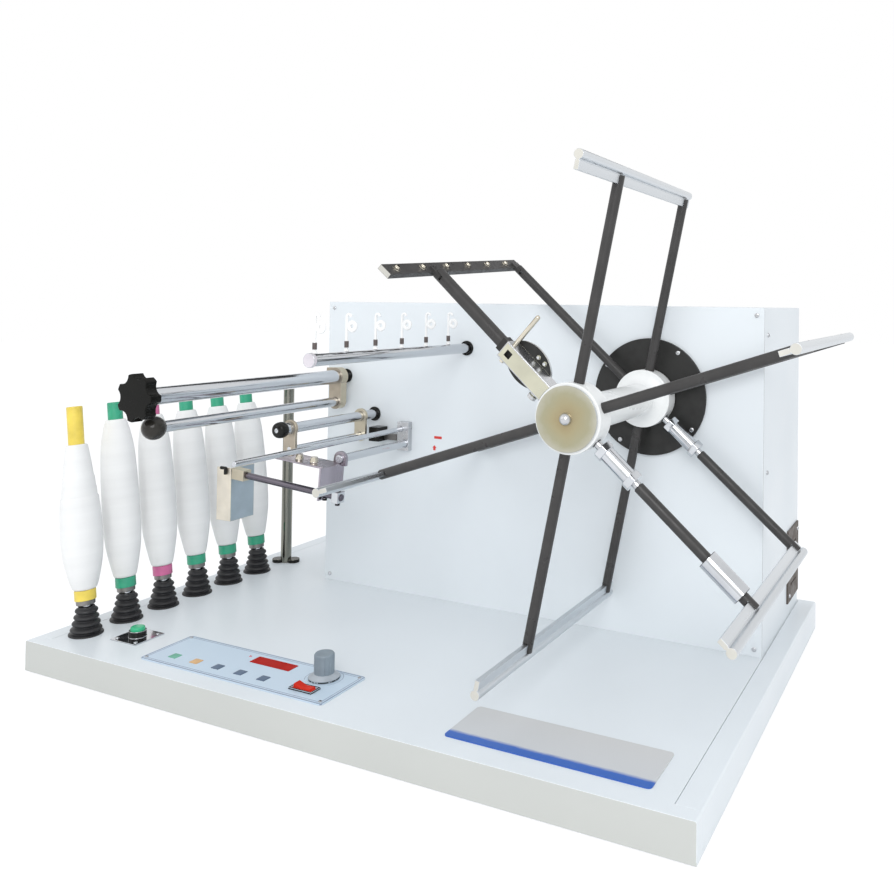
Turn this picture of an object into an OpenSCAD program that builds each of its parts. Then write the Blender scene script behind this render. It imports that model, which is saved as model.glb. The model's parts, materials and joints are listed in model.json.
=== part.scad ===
// Motor-driven six-arm wrap reel that winds measured skeins from six bobbins.
// Millimetres, +Z up, +X toward the reel, +Y toward the back of the cabinet.
// The origin is the middle of the base's resting face.

/* [Base] */
// Width of the base to the left of the cabinet, where the bobbins stand
bay_w = 142; // [130:1:200]
// Depth of the base from front to back
base_d = 520; // [510:1:640]
// Height of the base
base_h = 32; // [26:1:60]
// Thickness of the bottom plate
floor_t = 3; // [2:0.5:6]
// Sheet thickness of the top cover
cover_t = 2; // [1:0.1:4]
// Width of each side rail
rail_w = 21; // [15:1:24]
// Rounding of the rails' outer top edges
rail_round = 2; // [1:0.5:8]
// Depth of the front strip, which runs over the whole width
front_lip = 15; // [10:0.5:25]
// Joint between a rail and the top cover
seam = 0.5; // [0.3:0.1:1.2]

/* [Cabinet] */
// Depth of the cabinet
cab_d = 202; // [180:1:230]
// Height of the cabinet above the reel's axis
cab_above = 100; // [85:1:140]
// Sheet thickness of the cabinet
cab_t = 2; // [1.5:0.1:4]
// Space between the cabinet and the base's right edge
cab_side_gap = 22; // [22:1:40]
// Space between the cabinet and the base's back edge
cab_back_gap = 6; // [2:1:20]
// Distance of the panel screws from the panel's edges
screw_inset = 8; // [6:0.5:14]
// Head diameter of the panel screws
screw_d = 5; // [3:0.5:8]
// Width and height of the vent plate on the right side
vent_plate_size = [65, 85];
// Thickness of the vent plate
vent_plate_t = 2; // [1:0.5:4]

/* [Reel] */
// Distance of the reel's axis from the cabinet's right side
hub_inset = 126; // [100:1:150]
// Gap between the reel's outline and the base
reel_floor_gap = 37.4; // [20:0.1:60]
// Radius of the circle that the outer faces of the bars touch, for a girth of one and a half yards
reel_r = 228.6; // [200:0.1:260]
// Angle that the first arm leans toward +X
reel_lean = 11.2; // [0:0.1:30]
// Distance between the front arms and the rear arms
arm_span = 189.5; // [170:0.5:210]
// Diameter of the arms
arm_d = 10; // [8:0.5:12]
// Overhang of the bars in front of the front arms
bar_overhang = 91; // [60:1:95]
// Gap between the reel's back end and the cabinet's front
reel_gap = 6; // [5.5:0.1:10]
// Distance of the rear arms from the reel's back end
rear_arm_inset = 13.5; // [10:0.5:16]
// Radius of the front hub
hub_r = 32; // [28:0.5:36]
// Radius of the rear hub
rear_hub_r = 31; // [28:0.5:36]
// Radius of the neck between the hubs
neck_r = 17; // [12:0.5:20]
// Radius of the coves between the neck and the hubs
hub_cove = 12; // [4:0.5:13]
// Distance from the front arms to the front hub's front face
hub_nose = 11; // [9:0.5:16]
// Distance from the front arms to the front hub's back face
hub_tail = 14; // [9:0.5:20]
// Distance from the rear arms to the rear hub's front face
rear_hub_nose = 8; // [5:0.5:12]
// Thickness and radius of the disc on the hub's front
hub_disc_size = [3.3, 29.5];
// Radius of the domed bolt on the hub's front
hub_bolt_r = 6; // [4:0.5:8]
// Diameter of the reel's shaft
shaft_d = 16; // [10:1:20]
// Depth of an arm's socket in the hubs
arm_socket = 9; // [6:0.5:12]
// Width of a bar's round outer edge
bar_bulb_d = 8.6; // [6:0.2:10]
// Height of a bar along the arm
bar_h = 17; // [14:0.5:22]
// Thickness of a bar's flange
flange_t = 4.4; // [3:0.2:5]
// Thickness of a bar's neck under the bulb
bar_neck_t = 3.2; // [2:0.2:4]
// Depth of the fork that holds a bar's flange
fork_depth = 8.6; // [6:0.2:12]

/* [Adjustable arm] */
// Distance from the reel's axis to the inner end of a coupler
coupler_start = 38; // [36:0.5:44]
// Length of a coupler
coupler_l = 42; // [36:1:50]
// Diameter of a coupler's sleeve
coupler_d = 15; // [12:0.2:18]
// Width across the flats of a coupler's hexagonal collars
hex_w = 17.4; // [15:0.2:20]
// Length of a hexagonal collar
hex_l = 7; // [4:0.5:10]
// Diameter of the screws in the couplers
adjust_screw_d = 8; // [6:0.5:9]
// Length of a screw inside the coupler
screw_grip = 14; // [10:0.5:18]
// Travel of the arm each way
adjust_travel = 4; // [2:0.5:6]
// Diameter and length of the counterweight
weight_size = [18, 40];
// Distance from the counterweight's outer end to the arm's tip
weight_gap = 14; // [12:0.5:20]

/* [Release arm] */
// Angle by which the release arm leans back from its place in the six-arm star
release_turn = 0.9; // [0:0.1:2]
// Inner width of the bracket's channel
channel_w = 13.4; // [12:0.2:20]
// Sheet thickness of the channel
channel_t = 2; // [1.5:0.1:3]
// Distance from the reel's axis to the channel's outer end
channel_reach = 90; // [88:0.5:96]
// Radius of the black backing disc behind the channel
backing_r = 24; // [18:0.5:28]
// Thickness of the backing disc
backing_t = 3; // [2:0.5:5]
// Distance from the reel's axis to the middle of the backing disc
backing_at = 66; // [60:0.5:70]
// Radial travel of the release arm
release_travel = 18; // [10:0.5:20]
// Diameter of the release arm's tube
release_d = 12.5; // [11:0.5:14]
// Distance from the reel's axis to the tube's inner end, drawn in
release_start = 97; // [96:0.5:104]
// Length and thickness of the slider in the channel
slider_size = [47, 12];
// Diameter of the latch rod
latch_d = 4.6; // [3:0.2:5]
// Distance from the reel's axis to the latch rod
latch_at = 86; // [82:0.5:86.5]
// Reach of the latch rod from the arm's middle on its long and short sides
latch_reach = [41.6, 14.4];
// Diameter of the bolt at the channel's inner end, and its distance from the reel's axis
channel_bolt = [5, 41];
// Width and height of the clip bar
clip_bar_size = [5.5, 13.6];
// Distance of the clip bar's front end behind the front ends of the other bars
clip_bar_setback = 7; // [0:0.5:12]
// Distance from the reel's outline to the clip bar's outer face
clip_bar_inset = 1.6; // [0:0.1:3]
// Height of the lugs under the clip bar
lug_h = 7.9; // [7:0.1:10]
// Length of the lugs under the clip bar
lug_l = 16; // [12:0.5:20]
// Diameter of the pins in the lugs
lug_pin_d = 4; // [3:0.5:4.5]
// Diameter and thickness of a yarn clip's washer
clip_washer = [8.4, 1.2];
// Diameter and height of a yarn clip's head
clip_head = [5.4, 2.6];

/* [Drive] */
// Radius of the black plate around the shaft
shaft_plate_r = 64.5; // [50:0.5:70]
// Thickness of the plate around the shaft
shaft_plate_t = 4; // [3:0.5:5]
// Width, depth and height of the gear case inside
gear_case = [90, 34, 110];
// Diameter and length of the motor inside
motor_size = [78, 90];
// Outer diameter of the shaft's bearing
bearing_d = 32; // [26:1:40]

/* [Yarn guides] */
// Number of yarns wound together
yarns = 6; // [2:1:6]
// Distance of the first and of the last guide from the ends of the reel's bars
guide_ends = [23.9, 37.1];
// Diameter of the guide tube
guide_d = 12; // [10:0.5:16]
// Distance of the guide tube from the cabinet's left side
guide_inset = 213; // [190:0.1:230]
// Gap between the guide tube's axis and the reel's outline
guide_gap = 8.4; // [6:0.1:20]
// Height of the guide tube above the base
guide_rise = 311.5; // [300:0.5:325]
// Overhang of the guide tube past the first guide
guide_overhang = 8; // [6:0.5:14]
// Diameter and thickness of the guide tube's cap
guide_cap = [14, 4];
// Height of a guide's top above the tube's axis
eyelet_h = 43; // [36:0.5:50]
// Diameter of a guide's wire
eyelet_wire = 2.8; // [2:0.1:3.4]
// Outer diameter of a guide's ring and of its eye
eyelet_size = [12, 3.6];
// Height of a guide's ring above the tube's axis
eyelet_rise = 31; // [28:0.5:33]
// Diameter and length of a guide's dark collar
collar_size = [4.4, 7];
// Traverse of the guide tube each way
traverse = 10; // [5:0.5:12]

/* [Tension rods] */
// Diameter of the tension rod
tension_d = 18; // [14:0.5:20]
// Distance of the tension rod from the cabinet's left side, inward
tension_inset = 30.3; // [26:0.1:34]
// Height of the tension rod above the base
tension_rise = 269.4; // [265:0.1:275]
// Reach of the tension rod in front of the cabinet
tension_reach = 309.5; // [300:0.5:330]
// Diameter of the rod's rear journal
journal_d = 12; // [8:0.5:14]
// Distance of the link block's two faces from the cabinet's front
link_faces = [12, 24];
// Half width and side reach of the link block
link_size = [9.5, 14];
// Distance between the tension rod and the lower rod
link_drop = 32; // [30:0.1:38]
// Diameter of the lower rod
lower_d = 12; // [8:0.5:14]
// Reach of the lower rod in front of the cabinet
lower_reach = 300; // [280:1:302]
// Diameter of the ball knob
ball_d = 24; // [20:0.5:28]
// Diameter of the star knob over its lobes
star_d = 48; // [40:0.5:56]
// Thickness of the star knob
star_t = 15; // [12:0.5:24]
// Number of lobes on the star knob
star_lobes = 7; // [5:1:9]
// Diameter of the stud that carries the star knob
stud_d = 10; // [6:0.5:12]
// Distance of the roller rod from the cabinet's left side, inward
roller_inset = 76.4; // [72:0.1:80]
// Height of the roller rod above the base
roller_rise = 222.6; // [219:0.1:228]
// Reach of the roller rod in front of the cabinet
roller_reach = 157; // [150:1:165]
// Distance between the roller rod and the pin below it
roller_drop = 23; // [18:0.5:26]
// Diameter of the pin below the roller rod
roller_pin_d = 6; // [4:0.5:7]
// Diameter and length of the roller rod's knob
rod_knob_size = [18, 15];
// Thickness of the plates that carry the pin
roller_plate_t = 4; // [2:0.5:6]
// Length of the roller rod that stands free behind the rear plate
roller_free = 27; // [24:1:50]

/* [Balance lever] */
// Distance of the thin bar and of the pivot bar from the cabinet's left side, inward
bar_insets = [123, 128];
// Height of the thin bar and of the pivot bar above the base
bar_rises = [207, 189];
// Diameter of the thin bar and of the pivot bar
bar_diameters = [6, 9.5];
// Reach of the thin bar and of the pivot bar in front of the cabinet
bar_reaches = [285, 134];
// Width, depth and height of the block that holds both bars
bar_block = [17, 8, 36];
// Angle of the lever at rest, its right side down
lever_tilt = 4.7; // [0:0.1:6]
// Length of the lever plate toward the bobbins
lever_l = 76; // [60:1:80]
// Depth of the lever plate
lever_d = 33; // [28:1:40]
// Sheet thickness of the lever
lever_t = 2; // [1.5:0.1:3]
// Drop of the cross shaft below the lever's pivot
shaft_drop = 32.6; // [30:0.1:40]
// Diameter of the cross shaft
cross_d = 7.5; // [6:0.5:9]
// Reach of the cross shaft to the left and to the right of the pivot
cross_reach = [118, 31];
// Side length of the clamp blocks on the cross shaft
clamp_size = 12; // [11:0.5:15]
// Width, depth and height of the hanger's two leaves
hanger_size = [22, 36, 61];

/* [Bobbins] */
// Distance of the spindles from the base's left edge
spindle_inset = 39; // [34:1:46]
// Distance of the first spindle from the base's front edge
spindle_first = 42; // [36:1:48]
// Distance between two spindles
spindle_pitch = 50.8; // [48:0.1:51]
// Diameter of a spindle
spindle_d = 10; // [8:0.5:12]
// Length of a spindle above its rubber mount
spindle_l = 70; // [60:1:80]
// Angle that the spindles lean to the left
spindle_lean = 7; // [0:0.5:8]
// Height of a rubber mount
mount_h = 30; // [26:1:36]
// Diameters of a rubber mount's rings from the bottom up
mount_ds = [35, 30.5, 27, 23.5];
// Length of a bobbin tube
tube_l = 216; // [200:1:230]
// Diameter of a bobbin tube's upper part
tube_d = 18.4; // [16:0.2:20]
// Diameter of a bobbin tube's coloured ring
tube_ring_d = 23.6; // [22:0.2:26]
// Diameter of the yarn on the first bobbin and on the others
yarn_d = [42, 40];
// Length of bare tube above the yarn on the first bobbin and on the others
bare_tip = [42, 20];
// Diameter and height of the pillar
pillar_size = [14.5, 250];
// Distance of the pillar from the base's left edge and behind the last spindle
pillar_at = [44, 50];

/* [Controls] */
// Side length and thickness of the push button's plate
push_plate_size = [38, 1.2];
// Distance of the push button from the base's left edge and front edge
push_at = [97.5, 60];
// Diameter and height of the push button's collar
push_collar_size = [18, 8];
// Diameter of the push button's cap
push_d = 15; // [12:0.5:15.5]
// Height of the push button's cap above the base
push_h = 12; // [10.5:0.5:14]
// Width, depth and thickness of the control panel
panel_size = [235, 67, 1.2];
// Distance of the panel's middle from the base's left edge and front edge
panel_at = [265.5, 54];
// Side length of a key
key_w = 10; // [8:0.5:12]
// Distance between two keys
key_pitch = 29.7; // [24:0.1:31]
// Place of the first key from the panel's middle
key_at = [-88.5, -14];
// Travel of a key
key_travel = 0.5; // [0.3:0.1:0.6]
// Width and depth of the display window
display_size = [51, 14.5];
// Place of the display from the panel's middle
display_at = [15, 16.5];
// Place of the small lamp from the panel's middle
lamp_at = [-19.1, 19.7];
// Diameter of the small lamp
lamp_d = 3; // [2:0.5:5]
// Place of the speed knob from the panel's middle
knob_at = [81.5, 13.5];
// Diameter of the speed knob's skirt and of its grip
knob_d = [34, 21.7];
// Height of the speed knob's skirt and of the whole knob
knob_h = [5, 24];
// Diameter of the shaft under the speed knob
knob_shaft_d = 6; // [4:0.5:8]
// Place of the rocker switch from the panel's middle
rocker_at = [81.5, -14.5];
// Width, depth and height of the rocker's frame
rocker_frame_size = [28, 14, 1.6];
// Width of the rocker frame's rim
rocker_rim = 2; // [1.5:0.5:3]
// Angle of the rocker at rest
rocker_tilt = 7; // [3:0.5:10]
// Slope of the rocker's two halves toward its middle
rocker_dish = 9; // [4:0.5:14]
// Width, depth and thickness of the plain nameplate
nameplate_size = [186, 60, 1];
// Distance of the nameplate's middle from the base's right edge and front edge
nameplate_at = [136, 54.3];

/* [Fits] */
// Radial clearance of a running fit
run_fit = 0.05; // [0.02:0.01:0.1]
// Gap between flat faces that slide past each other
slide_gap = 0.2; // [0.1:0.05:0.4]
// Gap between pieces that pass each other freely
free_gap = 0.5; // [0.4:0.1:1]
// Overrun of every cut past the face that it opens
cut = 1; // [0.5:0.5:2]

/* [Hidden] */
$fn = 48;

cab_w = guide_inset + guide_gap + reel_r + hub_inset;
base_w = bay_w + cab_w + cab_side_gap;
hub_rise = reel_floor_gap + reel_r;
cab_h = hub_rise + cab_above;
left = -base_w/2;
right = base_w/2;
front = -base_d/2;
top = base_h;
cab_right = right - cab_side_gap;
cab_left = cab_right - cab_w;
cab_front = base_d/2 - cab_back_gap - cab_d;
panel_back = cab_front + cab_t;
cab_top = top + cab_h;

// Reel
hub_x = cab_right - hub_inset;
hub_z = top + hub_rise;
reel_back = cab_front - reel_gap;
rear_y = reel_back - rear_arm_inset;
front_y = rear_y - arm_span;
hub_front = front_y - hub_nose;
bar_front = front_y - bar_overhang;
flange_in = reel_r - bar_h;
fork_end = flange_in + fork_depth - free_gap;
fork_slot = flange_t + slide_gap;
front_arms = [0, 2, 3, 5];
rear_arms = [0, 2, 3, 5];
release_k = 1;
adjust_k = 4;

// Release arm
clip_out = reel_r - clip_bar_inset;
clip_in = clip_out - clip_bar_size[1];
clip_pin_r = clip_in - lug_h + lug_pin_d/2 + free_gap*2;
clip_tine = clip_in - free_gap*2.4;
clip_slot = clip_in - lug_h - free_gap*5;
clip_tilt = asin(release_travel/arm_span);
pin_way = sqrt(arm_span*arm_span + release_travel*release_travel) - arm_span;
slider_y = slider_size[1];
channel_web = front_y - hub_nose;
channel_back = front_y + slider_y/2 + free_gap*3;
tunnel_end = latch_at + latch_d/2 + slide_gap;
tunnel_start = latch_at - release_travel - latch_d/2 - slide_gap;

// Yarn guides and clips share their places along the reel's axis
first_guide = bar_front + guide_ends[0];
guide_pitch = (reel_back - guide_ends[1] - first_guide)/(yarns - 1);
guide_x = cab_left + guide_inset;
guide_z = top + guide_rise;
guide_front = first_guide - guide_overhang;

// Tension rods
tension_x = cab_left + tension_inset;
tension_z = top + tension_rise;
tension_front = cab_front - tension_reach;
link_back = cab_front - link_faces[0];
link_front = cab_front - link_faces[1];
lower_z = tension_z - link_drop;
lower_front = cab_front - lower_reach;
roller_x = cab_left + roller_inset;
roller_z = top + roller_rise;
roller_front = cab_front - roller_reach;
inside_l = cab_t*16;

// Balance lever
thin_x = cab_left + bar_insets[0];
thin_z = top + bar_rises[0];
pivot_x = cab_left + bar_insets[1];
pivot_z = top + bar_rises[1];
pivot_front = cab_front - bar_reaches[1];
lever_back = pivot_front + clamp_size/2;
lever_front = lever_back - lever_d;
cross_y = lever_front - free_gap*2;

// Bobbins
spindle_x = left + spindle_inset;
spindle_y0 = front + spindle_first;
last_spindle_y = spindle_y0 + spindle_pitch*(yarns - 1);
lean_rise = mount_h*2/3;
foot_gap = mount_h - lean_rise + free_gap*3.4;

// Controls
push_x = left + push_at[0];
push_y = front + push_at[1];
panel_x = left + panel_at[0];
panel_y = front + panel_at[1];
panel_t = panel_size[2];
rocker_x = panel_x + rocker_at[0];
rocker_y = panel_y + rocker_at[1];
rocker_in = [rocker_frame_size[0] - 2*rocker_rim, rocker_frame_size[1] - 2*rocker_rim];
rocker_z = top + panel_t + rocker_frame_size[2]/2;
name_x = right - nameplate_at[0];
name_y = front + nameplate_at[1];

white = [0.93, 0.94, 0.94];
black = [0.07, 0.07, 0.08];
steel = [0.75, 0.76, 0.78];
zinc = [0.74, 0.72, 0.62];

// A cylinder along +Y that starts at the given depth
module along_y(y, l, d) {
    translate([0, y, 0]) rotate([-90, 0, 0]) cylinder(h = l, d = d);
}

// A bar with a constant outline in X and Z that runs along +Y
module extrude_y(y, l) {
    translate([0, y + l, 0]) rotate([90, 0, 0]) linear_extrude(l) children();
}

// The frame of one arm: X across the arm, Z outward, and Y as in the part
module on_arm(k) {
    translate([hub_x, 0, hub_z]) rotate([0, arm_angle(k), 0]) children();
}
function arm_angle(k) = reel_lean - 60*k + (k == release_k ? release_turn : 0);

// The frame of one spindle, with Z along the spindle
module on_spindle(i) {
    translate([spindle_x, spindle_y0 + spindle_pitch*i, top + lean_rise])
        rotate([0, -spindle_lean, 0]) children();
}

// A low screw head that sits on Z = 0
module screw_head(d) {
    cylinder(h = d/4, d1 = d, d2 = d*3/4);
}

// Base

module base_plate() color(white) {
    translate([left, front, 0]) cube([base_w, base_d, floor_t]);
}

module rail_outline() {
    difference() {
        square([rail_w, base_h - floor_t]);
        square([rail_round, rail_round]);
    }
    intersection() {
        translate([rail_round, rail_round]) circle(rail_round);
        square(rail_round);
    }
}

module rail(y, l) {
    for (side = [0, 1])
        mirror([side, 0, 0]) translate([left, 0, base_h]) mirror([0, 0, 1]) extrude_y(y, l) rail_outline();
}

module side_rails() color(white) rail(front + front_lip, base_d - front_lip);

module base_cover() color(white) {
    w = base_w - 2*rail_w - 2*seam;
    difference() {
        union() {
            translate([-w/2, front, floor_t]) cube([w, base_d, base_h - floor_t]);
            translate([left + rail_w/2, front, floor_t]) cube([base_w - rail_w, front_lip, base_h - floor_t]);
            rail(front, front_lip);
        }
        translate([-w/2 + cover_t, front + cover_t, floor_t - cut])
            cube([w - 2*cover_t, base_d - 2*cover_t, base_h - floor_t - cover_t + cut]);
        translate([push_x, push_y, 0]) cylinder(h = base_h + cut, d = push_d + 2*slide_gap);
        translate([rocker_x - rocker_in[0]/2, rocker_y - rocker_in[1]/2, 0])
            cube([rocker_in[0], rocker_in[1], base_h + cut]);
    }
}

// Cabinet

module front_panel() color(white) difference() {
    translate([cab_left, cab_front, top]) cube([cab_w, cab_t, cab_h]);
    translate([hub_x, 0, hub_z]) along_y(cab_front - cut, cab_t + 2*cut, bearing_d + 2*run_fit);
    translate([guide_x, 0, guide_z]) along_y(cab_front - cut, cab_t + 2*cut, guide_d + 2*free_gap);
    for (place = [[tension_x, tension_z], [roller_x, roller_z]])
        translate([place[0], 0, place[1]])
            along_y(cab_front - cut, cab_t + 2*cut, journal_d + bush_wall*2 + 2*run_fit);
}

module cabinet_cover() color(white) difference() {
    translate([cab_left, panel_back, top]) cube([cab_w, cab_d - cab_t, cab_h]);
    translate([cab_left + cab_t, panel_back - cut, top - cut])
        cube([cab_w - 2*cab_t, cab_d - 2*cab_t + cut, cab_h - cab_t + cut]);
}

module panel_screws() color(steel) {
    for (x = [cab_left + screw_inset, cab_right - screw_inset], z = [top + screw_inset, cab_top - screw_inset])
        translate([x, cab_front, z]) rotate([90, 0, 0]) screw_head(screw_d);
    for (x = [cab_left, cab_right], share = screw_row_shares)
        translate([x, panel_back + screw_inset*2, top + cab_h*share])
            rotate([0, x > cab_left ? 90 : -90, 0]) screw_head(screw_d);
    for (corner = [-1, 1])
        translate([cab_right + vent_plate_t, vent_y + corner*(vent_plate_size[0]/2 - screw_inset),
                   vent_z + corner*(vent_plate_size[1]/2 - screw_inset)])
            rotate([0, 90, 0]) screw_head(screw_d);
    for (turn = [-45, 45, 135, 225])
        translate([hub_x, cab_front - shaft_plate_t, hub_z]) rotate([0, turn - reel_lean, 0])
            translate([0, 0, shaft_plate_r - screw_d]) rotate([90, 0, 0]) screw_head(screw_d);
    for (x = [-1, 1], y = [-1, 1]) {
        translate([push_x + x*(push_plate_size[0]/2 - screw_d), push_y + y*(push_plate_size[0]/2 - screw_d),
                   top + push_plate_size[1]]) screw_head(screw_d*3/4);
        translate([panel_x + x*(panel_size[0]/2 - screw_d), panel_y + y*(panel_size[1]/2 - screw_d),
                   top + panel_t]) screw_head(screw_d*3/4);
    }
}
screw_row_shares = [0.12, 0.52, 0.92];
vent_y = cab_front + cab_d - vent_plate_size[0]/2 - cab_t*2;
vent_z = top + vent_plate_size[1]/2 + screw_inset*2;
bush_wall = 2;

module vent_plate() color([0.28, 0.20, 0.17]) {
    difference() {
        translate([cab_right, vent_y - vent_plate_size[0]/2, vent_z - vent_plate_size[1]/2])
            cube([vent_plate_t, vent_plate_size[0], vent_plate_size[1]]);
        for (row = [0:5])
            translate([cab_right - cut, vent_y - vent_plate_size[0]/4,
                       vent_z + (row - 2.5)*vent_plate_size[1]/9 - vent_plate_t/2])
                cube([vent_plate_t + 2*cut, vent_plate_size[0]/2, vent_plate_t]);
    }
}

module shaft_plate() color(black) difference() {
    translate([hub_x, 0, hub_z]) along_y(cab_front - shaft_plate_t, shaft_plate_t, 2*shaft_plate_r);
    translate([hub_x, 0, hub_z])
        along_y(cab_front - shaft_plate_t - cut, shaft_plate_t + 2*cut, bearing_d + 2*run_fit);
}

// The bearing, the gear case and the motor behind the panel
module gear_motor() {
    color(steel) translate([hub_x, 0, hub_z]) difference() {
        along_y(cab_front - shaft_plate_t + free_gap, shaft_plate_t + cab_t - free_gap, bearing_d);
        along_y(cab_front - shaft_plate_t, shaft_plate_t + cab_t + cut, shaft_d + 2*run_fit);
    }
    color([0.45, 0.47, 0.5]) translate([hub_x, 0, hub_z]) difference() {
        union() {
            translate([-gear_case[0]/2, panel_back, -gear_case[0]/2]) cube(gear_case);
            translate([0, 0, gear_case[2] - gear_case[0]])
                along_y(panel_back + gear_case[1] - cut, motor_size[1] + cut, motor_size[0]);
        }
        along_y(panel_back - cut, gear_case[1]*3/4 + cut, shaft_d + 2*run_fit);
    }
}

// The guide tube's bearing block, with the small traverse motor under it
module traverse_block() color([0.45, 0.47, 0.5]) translate([guide_x, 0, guide_z]) {
    side = guide_d*3;
    difference() {
        translate([-side/2, panel_back, -side*3/2]) cube([side, side*3/2, side*2]);
        along_y(panel_back - cut, side*3/2 + 2*cut, guide_d + 2*run_fit);
    }
}

// Control panel and plates on the base

module push_plate() color([0.8, 0.82, 0.83]) translate([push_x, push_y, top]) difference() {
    union() {
        translate([-push_plate_size[0]/2, -push_plate_size[0]/2, 0])
            cube([push_plate_size[0], push_plate_size[0], push_plate_size[1]]);
        color(black) cylinder(h = push_collar_size[1], d = push_collar_size[0]);
    }
    translate([0, 0, -cut]) cylinder(h = push_collar_size[1] + 2*cut, d = push_d + 2*run_fit);
}

module push_button() color([0.1, 0.6, 0.35]) translate([push_x, push_y, top]) {
    edge = push_d/10;
    rotate_extrude() polygon([[0, -push_h/2], [push_d/2, -push_h/2], [push_d/2, push_h - edge],
                              [push_d/2 - edge, push_h], [0, push_h]]);
}

module key_place(i) {
    translate([panel_x + key_at[0] + key_pitch*i, panel_y + key_at[1], top]) children();
}

module plate_outline(size, round_d) {
    for (x = [-1, 1], y = [-1, 1])
        translate([x*(size[0] - round_d)/2, y*(size[1] - round_d)/2]) circle(d = round_d);
    square([size[0], size[1] - round_d], center = true);
    square([size[0] - round_d, size[1]], center = true);
}

module control_panel() {
    color([0.78, 0.85, 0.89]) difference() {
        translate([panel_x, panel_y, top]) linear_extrude(panel_t) plate_outline(panel_size, screw_d*2);
        for (i = [0:4])
            key_place(i) cube([key_w + 2*slide_gap, key_w + 2*slide_gap, 2*panel_t + cut], center = true);
        translate([panel_x + display_at[0], panel_y + display_at[1], top])
            cube([display_size[0] + slide_gap, display_size[1] + slide_gap, 2*panel_t + cut], center = true);
        translate([rocker_x, rocker_y, top])
            cube([rocker_in[0], rocker_in[1], 2*panel_t + cut], center = true);
    }
    color("red") translate([panel_x + lamp_at[0], panel_y + lamp_at[1], top + panel_t])
        cylinder(h = lamp_d/3, d1 = lamp_d, d2 = lamp_d*2/3);
    color(steel) translate([panel_x + knob_at[0], panel_y + knob_at[1], top + panel_t])
        cylinder(h = knob_h[1]/2, d = knob_shaft_d);
    color(black) translate([rocker_x, rocker_y, top + panel_t]) difference() {
        linear_extrude(rocker_frame_size[2]) plate_outline(rocker_frame_size, rocker_rim);
        translate([-rocker_in[0]/2, -rocker_in[1]/2, -cut])
            cube([rocker_in[0], rocker_in[1], rocker_frame_size[2] + 2*cut]);
    }
}

module display_window() color([0.8, 0.1, 0.08])
    translate([panel_x + display_at[0], panel_y + display_at[1], top + panel_t*2/3])
        cube([display_size[0], display_size[1], panel_t*4/3], center = true);

key_colors = [[0.1, 0.6, 0.35], [0.9, 0.6, 0.15], [0.12, 0.25, 0.45], [0.12, 0.25, 0.45], [0.12, 0.25, 0.45]];
module key(i) color(key_colors[i]) key_place(i)
    translate([0, 0, key_travel + slide_gap/2]) linear_extrude(panel_t) plate_outline([key_w, key_w], key_w/5);

module speed_knob() color([0.55, 0.56, 0.58])
    translate([panel_x + knob_at[0], panel_y + knob_at[1], top + panel_t + slide_gap]) difference() {
        rotate_extrude() polygon([[0, 0], [knob_d[0]/2, 0], [knob_d[0]/2, knob_h[0]/3], [knob_d[1]/2, knob_h[0]],
                                  [knob_d[1]/2, knob_h[1]*0.94], [knob_d[1]*0.45, knob_h[1]], [0, knob_h[1]]]);
        translate([0, 0, -cut]) cylinder(h = knob_h[1]*0.6 + cut, d = knob_shaft_d + 2*run_fit);
        for (turn = [0:15:345])
            rotate(turn) translate([knob_d[1]/2 + knob_h[0]/8, 0, knob_h[0]])
                cylinder(h = knob_h[1], d = knob_h[0]/2.4, $fn = 16);
    }

// The rocker rolls about Y, with both ends rounded about its pivot
module rocker() color([0.85, 0.12, 0.08]) translate([rocker_x, rocker_y, rocker_z]) {
    r = rocker_in[0]/2 - slide_gap;
    w = rocker_in[1] - 2*slide_gap;
    rotate([0, rocker_tilt, 0]) intersection() {
        translate([0, -w/2, 0]) along_y(0, w, 2*r);
        extrude_y(-w, 2*w) polygon([[-r, -r], [r, -r], [r, r/8 + r*tan(rocker_dish)], [0, r/8],
                                    [-r, r/8 + r*tan(rocker_dish)]]);
    }
}

module nameplate() color([0.72, 0.74, 0.76])
    translate([name_x, name_y, top]) linear_extrude(nameplate_size[2])
        square([nameplate_size[0], nameplate_size[1]], center = true);

// Bobbin stands

mount_shares = [0.10, 0.34, 0.62, 0.88];
module bellows_mounts() color(black) for (i = [0:yarns - 1])
    difference() {
        translate([spindle_x, spindle_y0 + spindle_pitch*i, top]) rotate_extrude() {
            square([mount_ds[3]*0.36, mount_h]);
            for (ring = [0:3]) {
                lip = mount_h/10;
                translate([mount_ds[ring]/2 - lip, mount_h*mount_shares[ring]]) circle(lip, $fn = 24);
                translate([0, mount_h*mount_shares[ring] - lip]) square([mount_ds[ring]/2 - lip, 2*lip]);
            }
        }
        on_spindle(i) translate([0, 0, -lean_rise*0.8]) cylinder(h = mount_h*2, d = spindle_d + 2*run_fit);
    }

module spindles() color(steel) for (i = [0:yarns - 1])
    on_spindle(i) translate([0, 0, -lean_rise*0.7]) {
        l = lean_rise*0.7 + foot_gap + spindle_l;
        rotate_extrude()
            polygon([[0, 0], [spindle_d/2, 0], [spindle_d/2, l - spindle_d/3], [spindle_d/3, l], [0, l]]);
    }

// Bobbin outlines: height and radius, from the foot up
module tube_outline() {
    r = tube_d/2;
    ring = tube_ring_d/2;
    foot = tube_ring_d/5;
    polygon([[spindle_d/2 + run_fit, 0], [ring*0.88, 0], [ring*0.88, foot], [ring, foot*1.1], [ring, foot*3.6],
             [ring*0.94, foot*3.8], [r, foot*4], [r, tube_l - r/4], [r*0.9, tube_l], [r*0.7, tube_l],
             [r*0.7, tube_l - r], [spindle_d/2 + run_fit, tube_l - 2*r]]);
}

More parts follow.
